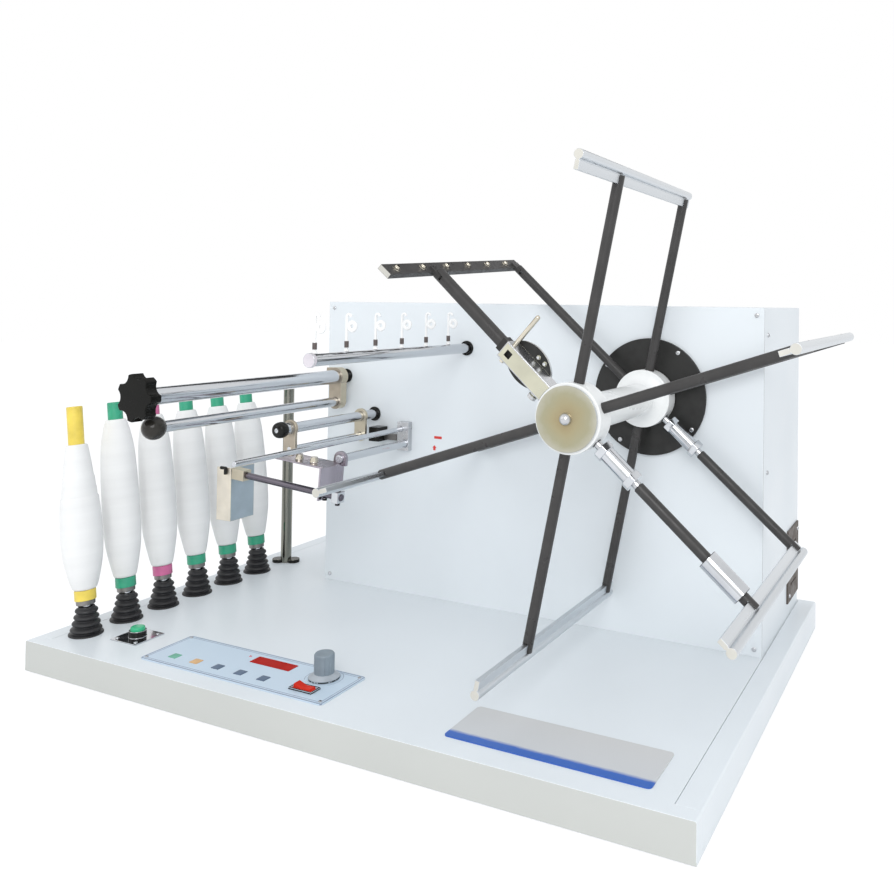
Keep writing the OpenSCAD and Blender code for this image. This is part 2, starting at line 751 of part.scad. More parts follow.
yarn_shares = [[0.10, 0.60], [0.16, 0.72], [0.26, 0.90], [0.36, 0.99], [0.46, 1.00], [0.60, 0.95], [0.80, 0.80],
               [1.00, 0.54]];
full_shares = [[0.10, 0.60], [0.16, 0.74], [0.26, 0.92], [0.36, 0.99], [0.46, 1.00], [0.60, 0.98], [0.84, 0.88],
               [1.00, 0.58]];
module yarn_outline(first) {
    shares = first ? yarn_shares : full_shares;
    d = first ? yarn_d[0] : yarn_d[1];
    l = tube_l - (first ? bare_tip[0] : bare_tip[1]);
    inner = tube_d/2 + run_fit;
    low = tube_ring_d/5*4 + run_fit;
    polygon(concat([[inner, low]], [for (s = shares) [max(s[1]*d/2, inner + cut/2), max(s[0]*l, low)]],
                   [[inner, l]]));
}

tube_colors = [[0.95, 0.8, 0.2], [0.15, 0.6, 0.4], [0.75, 0.35, 0.5], [0.15, 0.6, 0.4], [0.15, 0.6, 0.4],
               [0.15, 0.6, 0.4]];
module bobbin(i) on_spindle(i) translate([0, 0, foot_gap]) {
    color(tube_colors[i]) rotate_extrude() tube_outline();
    color("white") rotate_extrude() yarn_outline(i == 0);
}

module guide_pillar() translate([left + pillar_at[0], last_spindle_y + pillar_at[1], top]) {
    color(steel) cylinder(h = pillar_size[1], d = pillar_size[0]);
    color(black) difference() {
        for (side = [-1, 1])
            rotate(24) translate([side*pillar_size[0]*0.72, 0, 0])
                cylinder(h = pillar_size[0]/3, d = pillar_size[0]*1.17);
        translate([0, 0, -cut]) cylinder(h = pillar_size[1], d = pillar_size[0] + 2*run_fit);
    }
}

// Rods on the cabinet's front

module bush(x, z, d) color(black) translate([x, 0, z]) difference() {
    union() {
        along_y(cab_front - cab_t, cab_t, d + bush_wall*3);
        along_y(cab_front - cut/2, inside_l + cut/2, d + bush_wall*2);
    }
    along_y(cab_front - cab_t - cut, inside_l + cab_t + 2*cut, d + 2*run_fit);
}

module rod_bushes() {
    bush(tension_x, tension_z, journal_d);
    bush(roller_x, roller_z, journal_d);
    color(black) translate([guide_x, 0, guide_z]) difference() {
        along_y(cab_front - cab_t, cab_t, guide_d + bush_wall*3);
        along_y(cab_front - 2*cab_t, 3*cab_t, guide_d + 2*free_gap);
    }
}

module tension_rod() color(steel) translate([tension_x, 0, tension_z]) {
    along_y(tension_front, link_front - tension_front, tension_d);
    along_y(link_front - cut, inside_l + cab_front - link_front, journal_d);
    along_y(tension_front - star_t*0.6, star_t*0.6 + cut, stud_d);
}

module link_outline() {
    reach = link_size[0];
    difference() {
        union() {
            circle(reach + reach/4);
            translate([-reach, -link_drop]) square([2*reach, link_drop]);
            translate([0, -link_drop]) circle(reach);
            translate([-link_size[1], reach*0.2]) square([link_size[1], reach]);
        }
        circle(d = journal_d + 2*run_fit);
        translate([0, -link_drop]) circle(d = lower_d + 2*run_fit);
    }
}

module link_block() color(zinc) translate([tension_x, 0, tension_z])
    extrude_y(link_front + slide_gap, link_back - link_front - slide_gap) link_outline();

module lower_rod() color(steel) translate([tension_x, 0, lower_z])
    along_y(lower_front, link_back - lower_front, lower_d);

module ball_knob() color(black) translate([tension_x, lower_front, lower_z])
    rotate([-90, 0, 0]) rotate_extrude() difference() {
        circle(d = ball_d);
        translate([-ball_d, -ball_d]) square([ball_d, 2*ball_d]);
        square([lower_d/2 + run_fit, ball_d]);
    }

// A disc with one round scallop between each two lobes
module star_outline() difference() {
    circle(d = star_d);
    for (i = [0:star_lobes - 1])
        rotate((i + 0.5)*360/star_lobes) translate([star_d*0.59, 0]) circle(star_d*0.19);
}

module star_knob() color(black) translate([tension_x, tension_front, tension_z]) difference() {
    union() {
        extrude_y(-star_t, star_t*0.85) star_outline();
        along_y(-star_t*0.22, star_t*0.22 - slide_gap, star_d*0.56);
    }
    along_y(-star_t*0.65, star_t, stud_d + 2*run_fit);
}

module roller_rod() color(steel) translate([roller_x, 0, roller_z]) {
    along_y(roller_front, cab_front + inside_l - roller_front, journal_d);
    along_y(roller_front - rod_knob_size[1], rod_knob_size[1] + cut, journal_d/2);
}

// Two hanging plates and the thin pin between them
module roller_frame() translate([roller_x, 0, roller_z]) {
    rear = cab_front - roller_free;
    color(zinc) for (y = [roller_front + roller_plate_t, rear])
        extrude_y(y - roller_plate_t, roller_plate_t) difference() {
            union() {
                circle(d = journal_d*1.6);
                translate([-journal_d*0.7, -roller_drop]) square([journal_d*1.4, roller_drop]);
                translate([0, -roller_drop]) circle(d = journal_d*1.4);
            }
            circle(d = journal_d + 2*run_fit);
            translate([0, -roller_drop]) circle(d = roller_pin_d + 2*run_fit);
        }
    color(steel) translate([0, 0, -roller_drop]) along_y(roller_front, rear - roller_front, roller_pin_d);
}

module rod_knob() color(black) translate([roller_x, roller_front, roller_z]) difference() {
    l = rod_knob_size[1];
    union() {
        along_y(-l*1.4, l, rod_knob_size[0]);
        along_y(-l*0.5, l*0.5 - slide_gap, rod_knob_size[0]*0.6);
    }
    along_y(-l*1.05, l*2, journal_d/2 + 2*run_fit);
}

// The thin bar, the pivot bar and the block that carries both
module guide_bars() {
    color(steel) translate([thin_x, 0, thin_z])
        along_y(cab_front - bar_reaches[0], bar_reaches[0], bar_diameters[0]);
    color(steel) translate([pivot_x, 0, pivot_z])
        along_y(lever_back - 3*lever_t, cab_front - lever_back + 3*lever_t, bar_diameters[1]);
    color(white) difference() {
        translate([(thin_x + pivot_x - bar_block[0])/2, cab_front - bar_block[1],
                   (thin_z + pivot_z - bar_block[2])/2]) cube(bar_block);
        translate([thin_x, 0, thin_z])
            along_y(cab_front - 2*bar_block[1], 3*bar_block[1], bar_diameters[0] + 2*run_fit);
        translate([pivot_x, 0, pivot_z])
            along_y(cab_front - 2*bar_block[1], 3*bar_block[1], bar_diameters[1] + 2*run_fit);
    }
}

// Balance lever, drawn level in its own frame about the pivot bar and tilted as a whole
module on_lever() {
    translate([pivot_x, 0, pivot_z]) rotate([0, lever_tilt, 0]) children();
}

module lever_plate() on_lever() {
    hub = bar_diameters[1]*0.9;
    plate_z = -bar_diameters[1]/2 - slide_gap - lever_t;
    flange_x = lever_t;
    color([0.70, 0.68, 0.72]) difference() {
        union() {
            translate([-lever_l, lever_front, plate_z]) cube([lever_l + flange_x, lever_d, lever_t]);
            translate([flange_x, cross_y - clamp_size/2, -shaft_drop - cross_d])
                cube([lever_t, lever_back - cross_y + clamp_size/2, shaft_drop + cross_d + plate_z + lever_t]);
            along_y(lever_back - lever_t*2, lever_t*2, 2*hub);
            translate([-hub, lever_back - lever_t*2, plate_z]) cube([2*hub, lever_t*2, -plate_z]);
        }
        along_y(lever_back - lever_t*2 - cut, lever_t*2 + 2*cut, bar_diameters[1] + 2*run_fit);
        translate([0, cross_y, -shaft_drop]) rotate([0, 90, 0])
            cylinder(h = clamp_size*2, d = cross_d + 2*run_fit, center = true);
    }
    for (share = roller_shares)
        color(steel) translate([-lever_l*share, lever_front + lever_d*0.4, plate_z + lever_t])
            cylinder(h = lever_t*3, d1 = cross_d*1.3, d2 = cross_d);
    color([0.85, 0.84, 0.8]) difference() {
        translate([cross_reach[1] - clamp_size*0.8, cross_y - clamp_size/2, -shaft_drop - clamp_size/2])
            cube([clamp_size*0.7, clamp_size, clamp_size]);
        translate([0, cross_y, -shaft_drop]) rotate([0, 90, 0])
            cylinder(h = cross_reach[1]*3, d = cross_d + 2*run_fit, center = true);
    }
    for (x = [cross_reach[1] - clamp_size*0.45], side = [-1, 1])
        color(black) translate([x, cross_y, -shaft_drop + side*clamp_size/2]) rotate([side > 0 ? 0 : 180, 0, 0])
            cylinder(h = lever_t*1.6, d = cross_d*0.7);
    color(black) translate([flange_x + lever_t + cross_d/2, cross_y, -shaft_drop - cross_d/2 - lever_t*1.6])
        cylinder(h = lever_t*1.5, d = cross_d*0.7);
}
roller_shares = [0.30, 0.58];

module cross_shaft() color([0.5, 0.5, 0.52]) on_lever()
    translate([-cross_reach[0], cross_y, -shaft_drop]) rotate([0, 90, 0])
        cylinder(h = cross_reach[0] + cross_reach[1], d = cross_d);

// The clamp, the bent hanger plate and the black hook at the lever's left end
module hanger_plate() on_lever() {
    clamp_x = -cross_reach[0] + clamp_size;
    color([0.75, 0.66, 0.5]) difference() {
        translate([clamp_x - clamp_size*1.5, cross_y - clamp_size/2, -shaft_drop - clamp_size/2])
            cube([clamp_size*1.5, clamp_size, clamp_size]);
        translate([-cross_reach[0] - slide_gap, cross_y, -shaft_drop]) rotate([0, 90, 0])
            cylinder(h = clamp_size*2, d = cross_d + 2*run_fit);
    }
    color([0.75, 0.77, 0.78]) translate([clamp_x - clamp_size*1.5, cross_y, -shaft_drop])
    rotate([0, -lever_tilt, 0]) {
        low = -hanger_size[2] + clamp_size/2;
        leaf_x = -clamp_size/2*sin(lever_tilt) - slide_gap/2;
        translate([leaf_x - lever_t, -clamp_size/2, low]) cube([lever_t, hanger_size[1], hanger_size[2]]);
        translate([leaf_x - hanger_size[0], -clamp_size/2, low]) cube([hanger_size[0], lever_t, hanger_size[2]]);
    }
    color(black) translate([clamp_x - clamp_size*1.5, cross_y - clamp_size/2, -shaft_drop])
        rotate([0, -lever_tilt, 0]) translate([-hanger_size[0]/3, -cross_d/4 - slide_gap, clamp_size/2]) {
            rotate([0, -90, 0]) cylinder(h = hanger_size[0]/3, d = cross_d/2);
            sphere(d = cross_d/2);
            translate([0, 0, -hanger_size[0]/3]) cylinder(h = hanger_size[0]/3, d = cross_d/2);
        }
}

// Guide tube with its yarn guides

module guide_tube() translate([guide_x, 0, guide_z]) {
    color(steel) along_y(guide_front + guide_cap[1], panel_back - guide_front + guide_d*9/2 + traverse, guide_d);
    color([0.85, 0.8, 0.82]) along_y(guide_front, guide_cap[1], guide_cap[0]);
}

module thread_guides() for (i = [0:yarns - 1])
    translate([guide_x, first_guide + guide_pitch*i, guide_z]) {
        foot = guide_d/2 + slide_gap/2;
        hook = eyelet_wire*0.9;
        color([0.92, 0.92, 0.9]) {
            translate([0, 0, foot]) cylinder(h = eyelet_wire, d1 = eyelet_wire*2, d2 = eyelet_wire*1.5);
            translate([0, 0, foot + eyelet_wire/2])
                cylinder(h = eyelet_h - foot - eyelet_wire/2 - hook, d = eyelet_wire);
            translate([hook, 0, eyelet_h - hook]) rotate([90, 0, 0])
                rotate_extrude(angle = 180) translate([hook, 0]) circle(d = eyelet_wire, $fn = 20);
            translate([eyelet_size[0]/2 + eyelet_wire/4, 0, eyelet_rise]) rotate([90, 0, 0]) rotate_extrude() {
                rim = (eyelet_size[0] - eyelet_size[1])/4;
                for (r = [eyelet_size[1]/2 + eyelet_wire/2, eyelet_size[0]/2 - eyelet_wire/2])
                    translate([r, 0]) circle(d = eyelet_wire, $fn = 20);
                translate([eyelet_size[1]/2 + eyelet_wire/2, -eyelet_wire/2])
                    square([2*rim - eyelet_wire, eyelet_wire]);
            }
        }
        color([0.3, 0.26, 0.2]) difference() {
            translate([0, 0, foot + eyelet_wire*1.3]) cylinder(h = collar_size[1], d = collar_size[0]);
            cylinder(h = eyelet_h, d = eyelet_wire + 2*run_fit);
        }
    }

// Reel

module reel_shaft() color(steel) translate([hub_x, 0, hub_z])
    along_y(hub_front + hub_nose, panel_back + gear_case[1]*0.7 - hub_front - hub_nose, shaft_d);

// One end of the neck, as radius and depth, with its cove
module neck_end() {
    translate([0, -cut]) square([neck_r, hub_cove + 2*cut]);
    difference() {
        square([neck_r + hub_cove, hub_cove]);
        translate([neck_r + hub_cove, hub_cove]) circle(hub_cove);
    }
}

module reel_hub() color(white) difference() {
    translate([hub_x, 0, hub_z]) {
        along_y(hub_front, hub_nose + hub_tail, 2*hub_r);
        along_y(front_y, rear_y - front_y, 2*neck_r);
        along_y(rear_y - rear_hub_nose, rear_hub_nose + rear_arm_inset, 2*rear_hub_r);
        translate([0, front_y + hub_tail, 0]) rotate([-90, 0, 0]) rotate_extrude() neck_end();
        translate([0, rear_y - rear_hub_nose, 0]) rotate([90, 0, 0]) rotate_extrude() neck_end();
    }
    translate([hub_x, 0, hub_z]) {
        along_y(hub_front + hub_nose - slide_gap, reel_back - hub_front, shaft_d + 2*run_fit);
        along_y(hub_front - cut, hub_nose + 2*cut, hub_bolt_r + 2*run_fit);
    }
    for (k = concat(front_arms, [adjust_k]))
        on_arm(k) translate([0, front_y, hub_r - arm_socket]) cylinder(h = 2*arm_socket, d = arm_d + 2*run_fit);
    for (k = concat(rear_arms, [release_k, adjust_k]))
        on_arm(k) translate([0, rear_y, rear_hub_r - arm_socket]) cylinder(h = 2*arm_socket, d = arm_d + 2*run_fit);
}

// The brass disc and its domed bolt
module hub_disc() translate([hub_x, 0, hub_z]) {
    color([0.72, 0.68, 0.5]) difference() {
        along_y(hub_front - hub_disc_size[0], hub_disc_size[0], 2*hub_disc_size[1]);
        along_y(hub_front - hub_disc_size[0] - cut, hub_disc_size[0] + 2*cut, hub_bolt_r + 2*run_fit);
    }
    color(steel) {
        along_y(hub_front - hub_disc_size[0] - run_fit, hub_disc_size[0] + hub_nose - free_gap, hub_bolt_r);
        difference() {
            translate([0, hub_front - hub_disc_size[0], 0]) sphere(r = hub_bolt_r);
            along_y(hub_front - hub_disc_size[0], 2*hub_bolt_r, 4*hub_bolt_r);
        }
    }
}

// A rod from one radius to another with a fork at its outer end
module forked_arm(y, from, to, slot_from, d) {
    difference() {
        translate([0, y, from]) cylinder(h = to - from, d = d);
        translate([-fork_slot/2, y - d, slot_from]) cube([fork_slot, 2*d, to]);
    }
}

module lug_pin(y, r, d) {
    translate([0, y, r]) rotate([0, 90, 0]) cylinder(h = d*0.9, d = lug_pin_d, center = true);
}

module fixed_arms() color(black) {
    for (k = front_arms)
        on_arm(k) forked_arm(front_y, hub_r - arm_socket, fork_end, flange_in - free_gap, arm_d);
    for (k = rear_arms)
        on_arm(k) forked_arm(rear_y, rear_hub_r - arm_socket, fork_end, flange_in - free_gap, arm_d);
    on_arm(release_k) {
        forked_arm(rear_y, rear_hub_r - arm_socket, clip_tine, clip_slot, arm_d);
        lug_pin(rear_y, clip_pin_r, arm_d);
    }
    color(steel) on_arm(adjust_k) for (place = [[front_y, hub_r], [rear_y, rear_hub_r]])
        translate([0, place[0], place[1] - arm_socket]) {
            cylinder(h = coupler_start + screw_grip - place[1] + arm_socket, d = adjust_screw_d);
            cylinder(h = arm_socket + free_gap, d = arm_d);
        }
}

module bar_outline() {
    bulb_z = reel_r - bar_bulb_d/2;
    translate([0, bulb_z]) circle(d = bar_bulb_d);
    translate([-bar_neck_t/2, flange_in]) square([bar_neck_t, bar_h - bar_bulb_d/2]);
    translate([-flange_t/2, flange_in]) square([flange_t, bar_h - bar_bulb_d - free_gap]);
}

module bar(k) on_arm(k) extrude_y(bar_front, rear_y + rear_arm_inset - bar_front) bar_outline();

module crossbars() color([0.86, 0.88, 0.9]) for (k = front_arms) bar(k);

module adjust_bar() color([0.86, 0.88, 0.9]) bar(adjust_k);

// A turnbuckle sleeve with hexagonal collars at both ends
module coupler(y) color(steel) on_arm(adjust_k) difference() {
    translate([0, y, coupler_start]) {
        cylinder(h = coupler_l, d = coupler_d);
        cylinder(h = hex_l, d = hex_w/cos(30), $fn = 6);
        translate([0, 0, coupler_l - hex_l]) cylinder(h = hex_l, d = hex_w/cos(30), $fn = 6);
    }
    translate([0, y, coupler_start - cut]) cylinder(h = coupler_l + 2*cut, d = adjust_screw_d + 2*run_fit);
}

module coupler_front() coupler(front_y);
module coupler_rear() coupler(rear_y);

module adjust_arms() on_arm(adjust_k) {
    tube_from = coupler_start + coupler_l + adjust_travel + free_gap;
    weight_to = fork_end - weight_gap;
    color(black) for (y = [front_y, rear_y]) {
        forked_arm(y, tube_from, fork_end, flange_in - free_gap, arm_d);
        translate([0, y, coupler_start + coupler_l - screw_grip])
            cylinder(h = tube_from - coupler_start - coupler_l + screw_grip + cut, d = adjust_screw_d);
    }
    color(steel) difference() {
        translate([0, front_y, weight_to - weight_size[1]]) cylinder(h = weight_size[1], d = weight_size[0]);
        translate([0, front_y, weight_to - weight_size[1] - cut])
            cylinder(h = weight_size[1] + 2*cut, d = arm_d + 2*run_fit);
    }
}

// Release mechanism on the second arm: channel, slider, latch rod and hinged clip bar

module release_bracket() {
    wide = channel_w + 2*channel_t;
    color(zinc) difference() {
        on_arm(release_k) {
            translate([-wide/2, channel_web, 0]) cube([wide, channel_t, channel_reach]);
            for (side = [-1, 1])
                translate([side*(channel_w + channel_t)/2 - channel_t/2, channel_web, 0])
                    cube([channel_t, channel_back - channel_web, channel_reach]);
        }
        translate([hub_x, 0, hub_z]) along_y(channel_web - cut, hub_nose + hub_tail + 2*cut, 2*hub_r);
        on_arm(release_k) {
            translate([-channel_w/4, channel_web - cut, latch_at - channel_w*0.6])
                cube([channel_w/2, channel_t + 2*cut, channel_w/2]);
            translate([0, front_y, latch_at]) rotate([0, 90, 0])
                cylinder(h = 2*wide, d = latch_d + 2*run_fit, center = true);
        }
    }
    color(steel) on_arm(release_k) translate([-wide/2, front_y, channel_bolt[1]]) rotate([0, -90, 0]) {
        translate([0, 0, -channel_t/2]) cylinder(h = channel_bolt[0]*1.8 + channel_t/2, d = channel_bolt[0]);
        for (step = [0, 1])
            translate([0, 0, step*channel_bolt[0]*0.9]) cylinder(h = channel_bolt[0]*0.7, d = channel_bolt[0]*1.8);
    }
    color(black) on_arm(release_k) translate([0, 0, backing_at]) {
        along_y(channel_back, backing_t, 2*backing_r);
        for (z = [-1, 1])
            translate([backing_r*0.68, 0, z*backing_t*1.4 - backing_r*0.3])
                along_y(channel_back - backing_t/2, backing_t/2, backing_t*1.2);
    }
}

// The tube with its fork and the slider that runs in the channel
module release_arm() on_arm(release_k) {
    slider_from = release_start - slider_size[0];
    color(black) {
        forked_arm(front_y, release_start, clip_tine - release_travel, clip_slot - release_travel, release_d);
        lug_pin(front_y, clip_pin_r - release_travel, release_d);
    }
    color(zinc) difference() {
        translate([-channel_w/2 + slide_gap, front_y - slider_y/2, slider_from])
            cube([channel_w - 2*slide_gap, slider_y, slider_size[0]]);
        translate([-channel_w, front_y - latch_d/2 - slide_gap, tunnel_start])
            cube([2*channel_w, latch_d + 2*slide_gap, tunnel_end - tunnel_start]);
    }
}

module latch_rod() color(steel) on_arm(release_k)
    translate([-latch_reach[1], front_y, latch_at]) rotate([0, 90, 0]) {
        cylinder(h = latch_reach[0] + latch_reach[1], d = latch_d);
        translate([0, 0, latch_reach[0] + latch_reach[1]]) sphere(d = latch_d);
    }

// The clip bar hinges on the rear arm; its front lug has a slot for the front pin
module clip_bar() on_arm(release_k) translate([0, rear_y, clip_pin_r]) rotate([clip_tilt, 0, 0]) {
    lift = clip_in - clip_pin_r;
    color(black) {
        difference() {
            union() {
                translate([-clip_bar_size[0], bar_front + clip_bar_setback - rear_y, lift])
                    cube([clip_bar_size[0], reel_back - bar_front - clip_bar_setback, clip_bar_size[1]]);
                for (y = [-arm_span - pin_way/2, 0])
                    translate([-flange_t/2, y - lug_l/2, lift - lug_h])
                        cube([flange_t, lug_l, lug_h + clip_bar_size[1]/2]);
            }
            rotate([0, 90, 0]) cylinder(h = 2*flange_t, d = lug_pin_d + 2*run_fit, center = true);
            for (y = [-arm_span - pin_way - slide_gap, -arm_span + slide_gap])
                translate([0, y, 0]) rotate([0, 90, 0])
                    cylinder(h = 2*flange_t, d = lug_pin_d + 2*free_gap, center = true);
            translate([-flange_t, -arm_span - pin_way - slide_gap, -lug_pin_d/2 - free_gap])
                cube([2*flange_t, pin_way + 2*slide_gap, lug_pin_d + 2*free_gap]);
        }
    }
    color(steel) for (i = [0:yarns - 1])
        translate([0, first_guide + guide_pitch*i - rear_y, lift + clip_bar_size[1]/2]) rotate([0, 90, 0]) {
            translate([0, 0, -run_fit]) cylinder(h = clip_washer[1] + run_fit, d = clip_washer[0]);
            translate([0, 0, clip_washer[1] - run_fit])
                cylinder(h = clip_head[1], d1 = clip_head[0], d2 = clip_head[0]*0.7);
        }
}

base_plate();
base_cover();
side_rails();
front_panel();
cabinet_cover();
panel_screws();
vent_plate();
shaft_plate();
gear_motor();
traverse_block();
push_plate();
control_panel();
display_window();
nameplate();
bellows_mounts();
spindles();
rod_bushes();
guide_bars();
guide_pillar();
tension_rod();
link_block();
lower_rod();
ball_knob();
star_knob();
roller_rod();
roller_frame();
rod_knob();
lever_plate();
cross_shaft();
hanger_plate();
guide_tube();
thread_guides();
push_button();
speed_knob();
rocker();
key(0);  // key_1
key(1);  // key_2
key(2);  // key_3
key(3);  // key_4
key(4);  // key_5
bobbin(0);  // bobbin_1
bobbin(1);  // bobbin_2
bobbin(2);  // bobbin_3
bobbin(3);  // bobbin_4
bobbin(4);  // bobbin_5
bobbin(5);  // bobbin_6
reel_shaft();
reel_hub();
hub_disc();
fixed_arms();
crossbars();
coupler_front();
coupler_rear();
adjust_arms();
adjust_bar();
release_bracket();
release_arm();
latch_rod();
clip_bar();
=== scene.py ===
"""Yarn wrap reel: the looks of every piece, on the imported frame. Metres, +Z up, +Y toward the cabinet's back."""
import json
import math

import bmesh
import bpy
from mathutils import Matrix, Vector

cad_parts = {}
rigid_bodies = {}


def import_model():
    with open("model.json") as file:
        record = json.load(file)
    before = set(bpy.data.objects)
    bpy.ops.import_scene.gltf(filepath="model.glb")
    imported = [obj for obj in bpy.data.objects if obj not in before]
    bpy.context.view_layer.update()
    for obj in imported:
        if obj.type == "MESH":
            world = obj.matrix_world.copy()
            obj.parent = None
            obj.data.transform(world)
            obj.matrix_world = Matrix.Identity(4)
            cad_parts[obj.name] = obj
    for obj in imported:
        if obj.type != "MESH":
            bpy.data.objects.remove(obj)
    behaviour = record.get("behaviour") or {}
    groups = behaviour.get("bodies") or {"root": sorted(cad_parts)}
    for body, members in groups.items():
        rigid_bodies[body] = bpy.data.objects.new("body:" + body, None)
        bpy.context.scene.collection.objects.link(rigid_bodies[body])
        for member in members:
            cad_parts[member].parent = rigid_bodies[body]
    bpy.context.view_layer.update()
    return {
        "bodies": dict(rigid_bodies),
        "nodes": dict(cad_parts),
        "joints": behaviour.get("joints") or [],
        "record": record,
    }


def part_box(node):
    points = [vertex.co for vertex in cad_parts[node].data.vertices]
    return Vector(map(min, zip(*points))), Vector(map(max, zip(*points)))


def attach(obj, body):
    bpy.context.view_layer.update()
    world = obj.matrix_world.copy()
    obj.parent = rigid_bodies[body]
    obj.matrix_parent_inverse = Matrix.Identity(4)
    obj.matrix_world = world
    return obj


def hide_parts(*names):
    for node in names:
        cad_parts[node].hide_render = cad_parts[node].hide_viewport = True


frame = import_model()
nodes = frame["nodes"]
MM = 0.001


body_of = {node: body for body, names in frame["record"]["behaviour"]["bodies"].items() for node in names}


# Camera

CAMERA_PLACE = (546.9, -877.2, 400.5)
CAMERA_YAW = -0.439668
CAMERA_PITCH = 0.018449
CAMERA_ROLL = 0.01315
FOCAL_PIXELS = 879.867
CENTRE_PIXEL = (560.0, 286.6)
IMAGE_SIDE = 894


def make_camera():
    """The camera at the photograph's viewing angle, with the shift that its framing needs."""
    ahead = Vector((math.sin(CAMERA_YAW) * math.cos(CAMERA_PITCH), math.cos(CAMERA_YAW) * math.cos(CAMERA_PITCH),
                    math.sin(CAMERA_PITCH)))
    level = Vector((math.cos(CAMERA_YAW), -math.sin(CAMERA_YAW), 0))
    upright = level.cross(ahead)
    right = math.cos(CAMERA_ROLL) * level + math.sin(CAMERA_ROLL) * upright
    up = -math.sin(CAMERA_ROLL) * level + math.cos(CAMERA_ROLL) * upright
    data = bpy.data.cameras.new("camera")
    data.sensor_width = 36
    data.lens = FOCAL_PIXELS / IMAGE_SIDE * data.sensor_width
    data.shift_x = (IMAGE_SIDE / 2 - CENTRE_PIXEL[0]) / IMAGE_SIDE
    data.shift_y = (CENTRE_PIXEL[1] - IMAGE_SIDE / 2) / IMAGE_SIDE
    data.clip_start = 0.01
    camera = bpy.data.objects.new("camera", data)
    turn = Matrix((right, up, -ahead)).transposed()
    camera.matrix_world = Matrix.Translation(Vector(CAMERA_PLACE) * MM) @ turn.to_4x4()
    bpy.context.scene.collection.objects.link(camera)
    bpy.context.scene.camera = camera


make_camera()


# Places that the pieces share, in millimetres, from the frame's boxes and the part's source

def middle(node):
    """Middle of a node's box in millimetres."""
    low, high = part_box(node)
    return (low + high) / 2 / MM


def low_corner(node):
    """Lowest corner of a node's box in millimetres."""
    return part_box(node)[0] / MM


def high_corner(node):
    """Highest corner of a node's box in millimetres."""
    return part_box(node)[1] / MM


HUB = Vector((222.0, 0, 298.0))
FRONT_ARMS_Y = -157.0
REAR_ARMS_Y = 32.5
FLANGE_IN = 211.6
FORK_FROM = FLANGE_IN - 2.5
COUPLER_BEARING = 131.2  # degrees
TOP = 32.0
PLATE_FACE = TOP + 1.25
# Depth in front of which the base's front faces take the painted-shade white
SHADED_FRONT_Y = -255.0
PANEL_FRONT = 52.0
SEAM_LEFT, SEAM_RIGHT, SEAM_TOP = -227.5, 347.5, 397.5
SPINDLE_X = -331.0
SPINDLE_Y0 = -218.0
SPINDLE_PITCH = 50.8
SPINDLE_LEAN = math.radians(7)
LEAN_RISE = 20.0
FOOT_GAP = 11.7
TUBE_L = 216.0
GUIDE_Y0 = -224.1
GUIDE_PITCH = 46.6
PANEL_MIDDLE = Vector((-104.5, -206.0, 33.2))
PANEL_SIZE = (235.0, 67.0)
PLATE_FRONT = -235.7
KNOB_AT = (-23.0, -192.5)
KNOB_BORE = 6.0
KNOB_SHARE = 0.9
LAMP_AT = (-123.6, -186.3)
ROCKER_SHARE = 0.84
THIN_BAR_AT = (-105.0, 0, 239.0)
THIN_BAR_R = 3.1
PIVOT_BAR_AT = (-100.0, 0, 221.0)
PIVOT_BAR_R = 4.8
BAR_BLOCK_Y = 43.5
PUSH_RING_R = 9.06
PILLAR_AT = (-326.0, 86.0, 0)
PILLAR_R = 7.35
ROLLER_PIN_AT = (-151.6, 0, 231.6)
ROLLER_PIN_R = 3.02
LEVER_TILT = math.radians(4.7)
LEVER_BLOCK_X = 17.0
LEVER_BLOCK_Z = -32.6
HOOK_Y = -116.05
LEAVES_X = -226.75
GUIDE_CAP_Y = -228.0
COLLAR_LOW, COLLAR_HIGH = 353.0, 360.6
DISC_BOLT_R = 6.04
SLIDER_TOP = 97.0
BACKING_AT = 66.0
BACKING_Y = FRONT_ARMS_Y + 5.9
BACKING_REAR_Y = FRONT_ARMS_Y + 7.45
CLIP_PIN_R = 208.5
CLIP_STUD_Z = 11.7
CLIP_TILT = math.radians(5.4506)


def arm_angle(k):
    """Angle of an arm from upright, toward +X; the release arm leans back a little."""
    return math.radians(11.2 - 60 * k + (0.9 if k == 1 else 0))


def arm_frame(k):
    """The frame of one arm in millimetres: X across the arm, Z outward."""
    return Matrix.Translation(HUB) @ Matrix.Rotation(arm_angle(k), 4, "Y")


def spindle_frame(index):
    """The frame of one spindle in millimetres, Z along it, from the leaning point."""
    place = Vector((SPINDLE_X, SPINDLE_Y0 + SPINDLE_PITCH * index, TOP + LEAN_RISE))
    return Matrix.Translation(place) @ Matrix.Rotation(-SPINDLE_LEAN, 4, "Y")


# Materials

def shader(name, color, roughness=0.5, metallic=0.0, **sockets):
    """A principled material with its plain values set on the shader's own sockets."""
    material = bpy.data.materials.new(name)
    material.use_nodes = True
    main = material.node_tree.nodes["Principled BSDF"]
    main.inputs["Base Color"].default_value = (*color, 1)
    main.inputs["Roughness"].default_value = roughness
    main.inputs["Metallic"].default_value = metallic
    for socket, value in sockets.items():
        main.inputs[socket.replace("_", " ")].default_value = value
    return material


def add(material, kind, **values):
    """A new node in the tree of a material or of the world, with its inputs or properties set by name."""
    made = material.node_tree.nodes.new(kind)
    for key, value in values.items():
        if key in made.inputs:
            made.inputs[key].default_value = value
        else:
            setattr(made, key, value)
    return made


def join(material, source, target):
    """Links one socket to another."""
    material.node_tree.links.new(source, target)


def main_input(material, socket):
    """An input of the material's principled shader."""
    return material.node_tree.nodes["Principled BSDF"].inputs[socket]


def calc(material, operation, first, second=0.0, clamp=False):
    """One sum on sockets or plain numbers."""
    made = add(material, "ShaderNodeMath", operation=operation, use_clamp=clamp)
    for index, value in enumerate((first, second)):
        if isinstance(value, (int, float)):
            made.inputs[index].default_value = value
        else:
            join(material, value, made.inputs[index])
    return made.outputs[0]


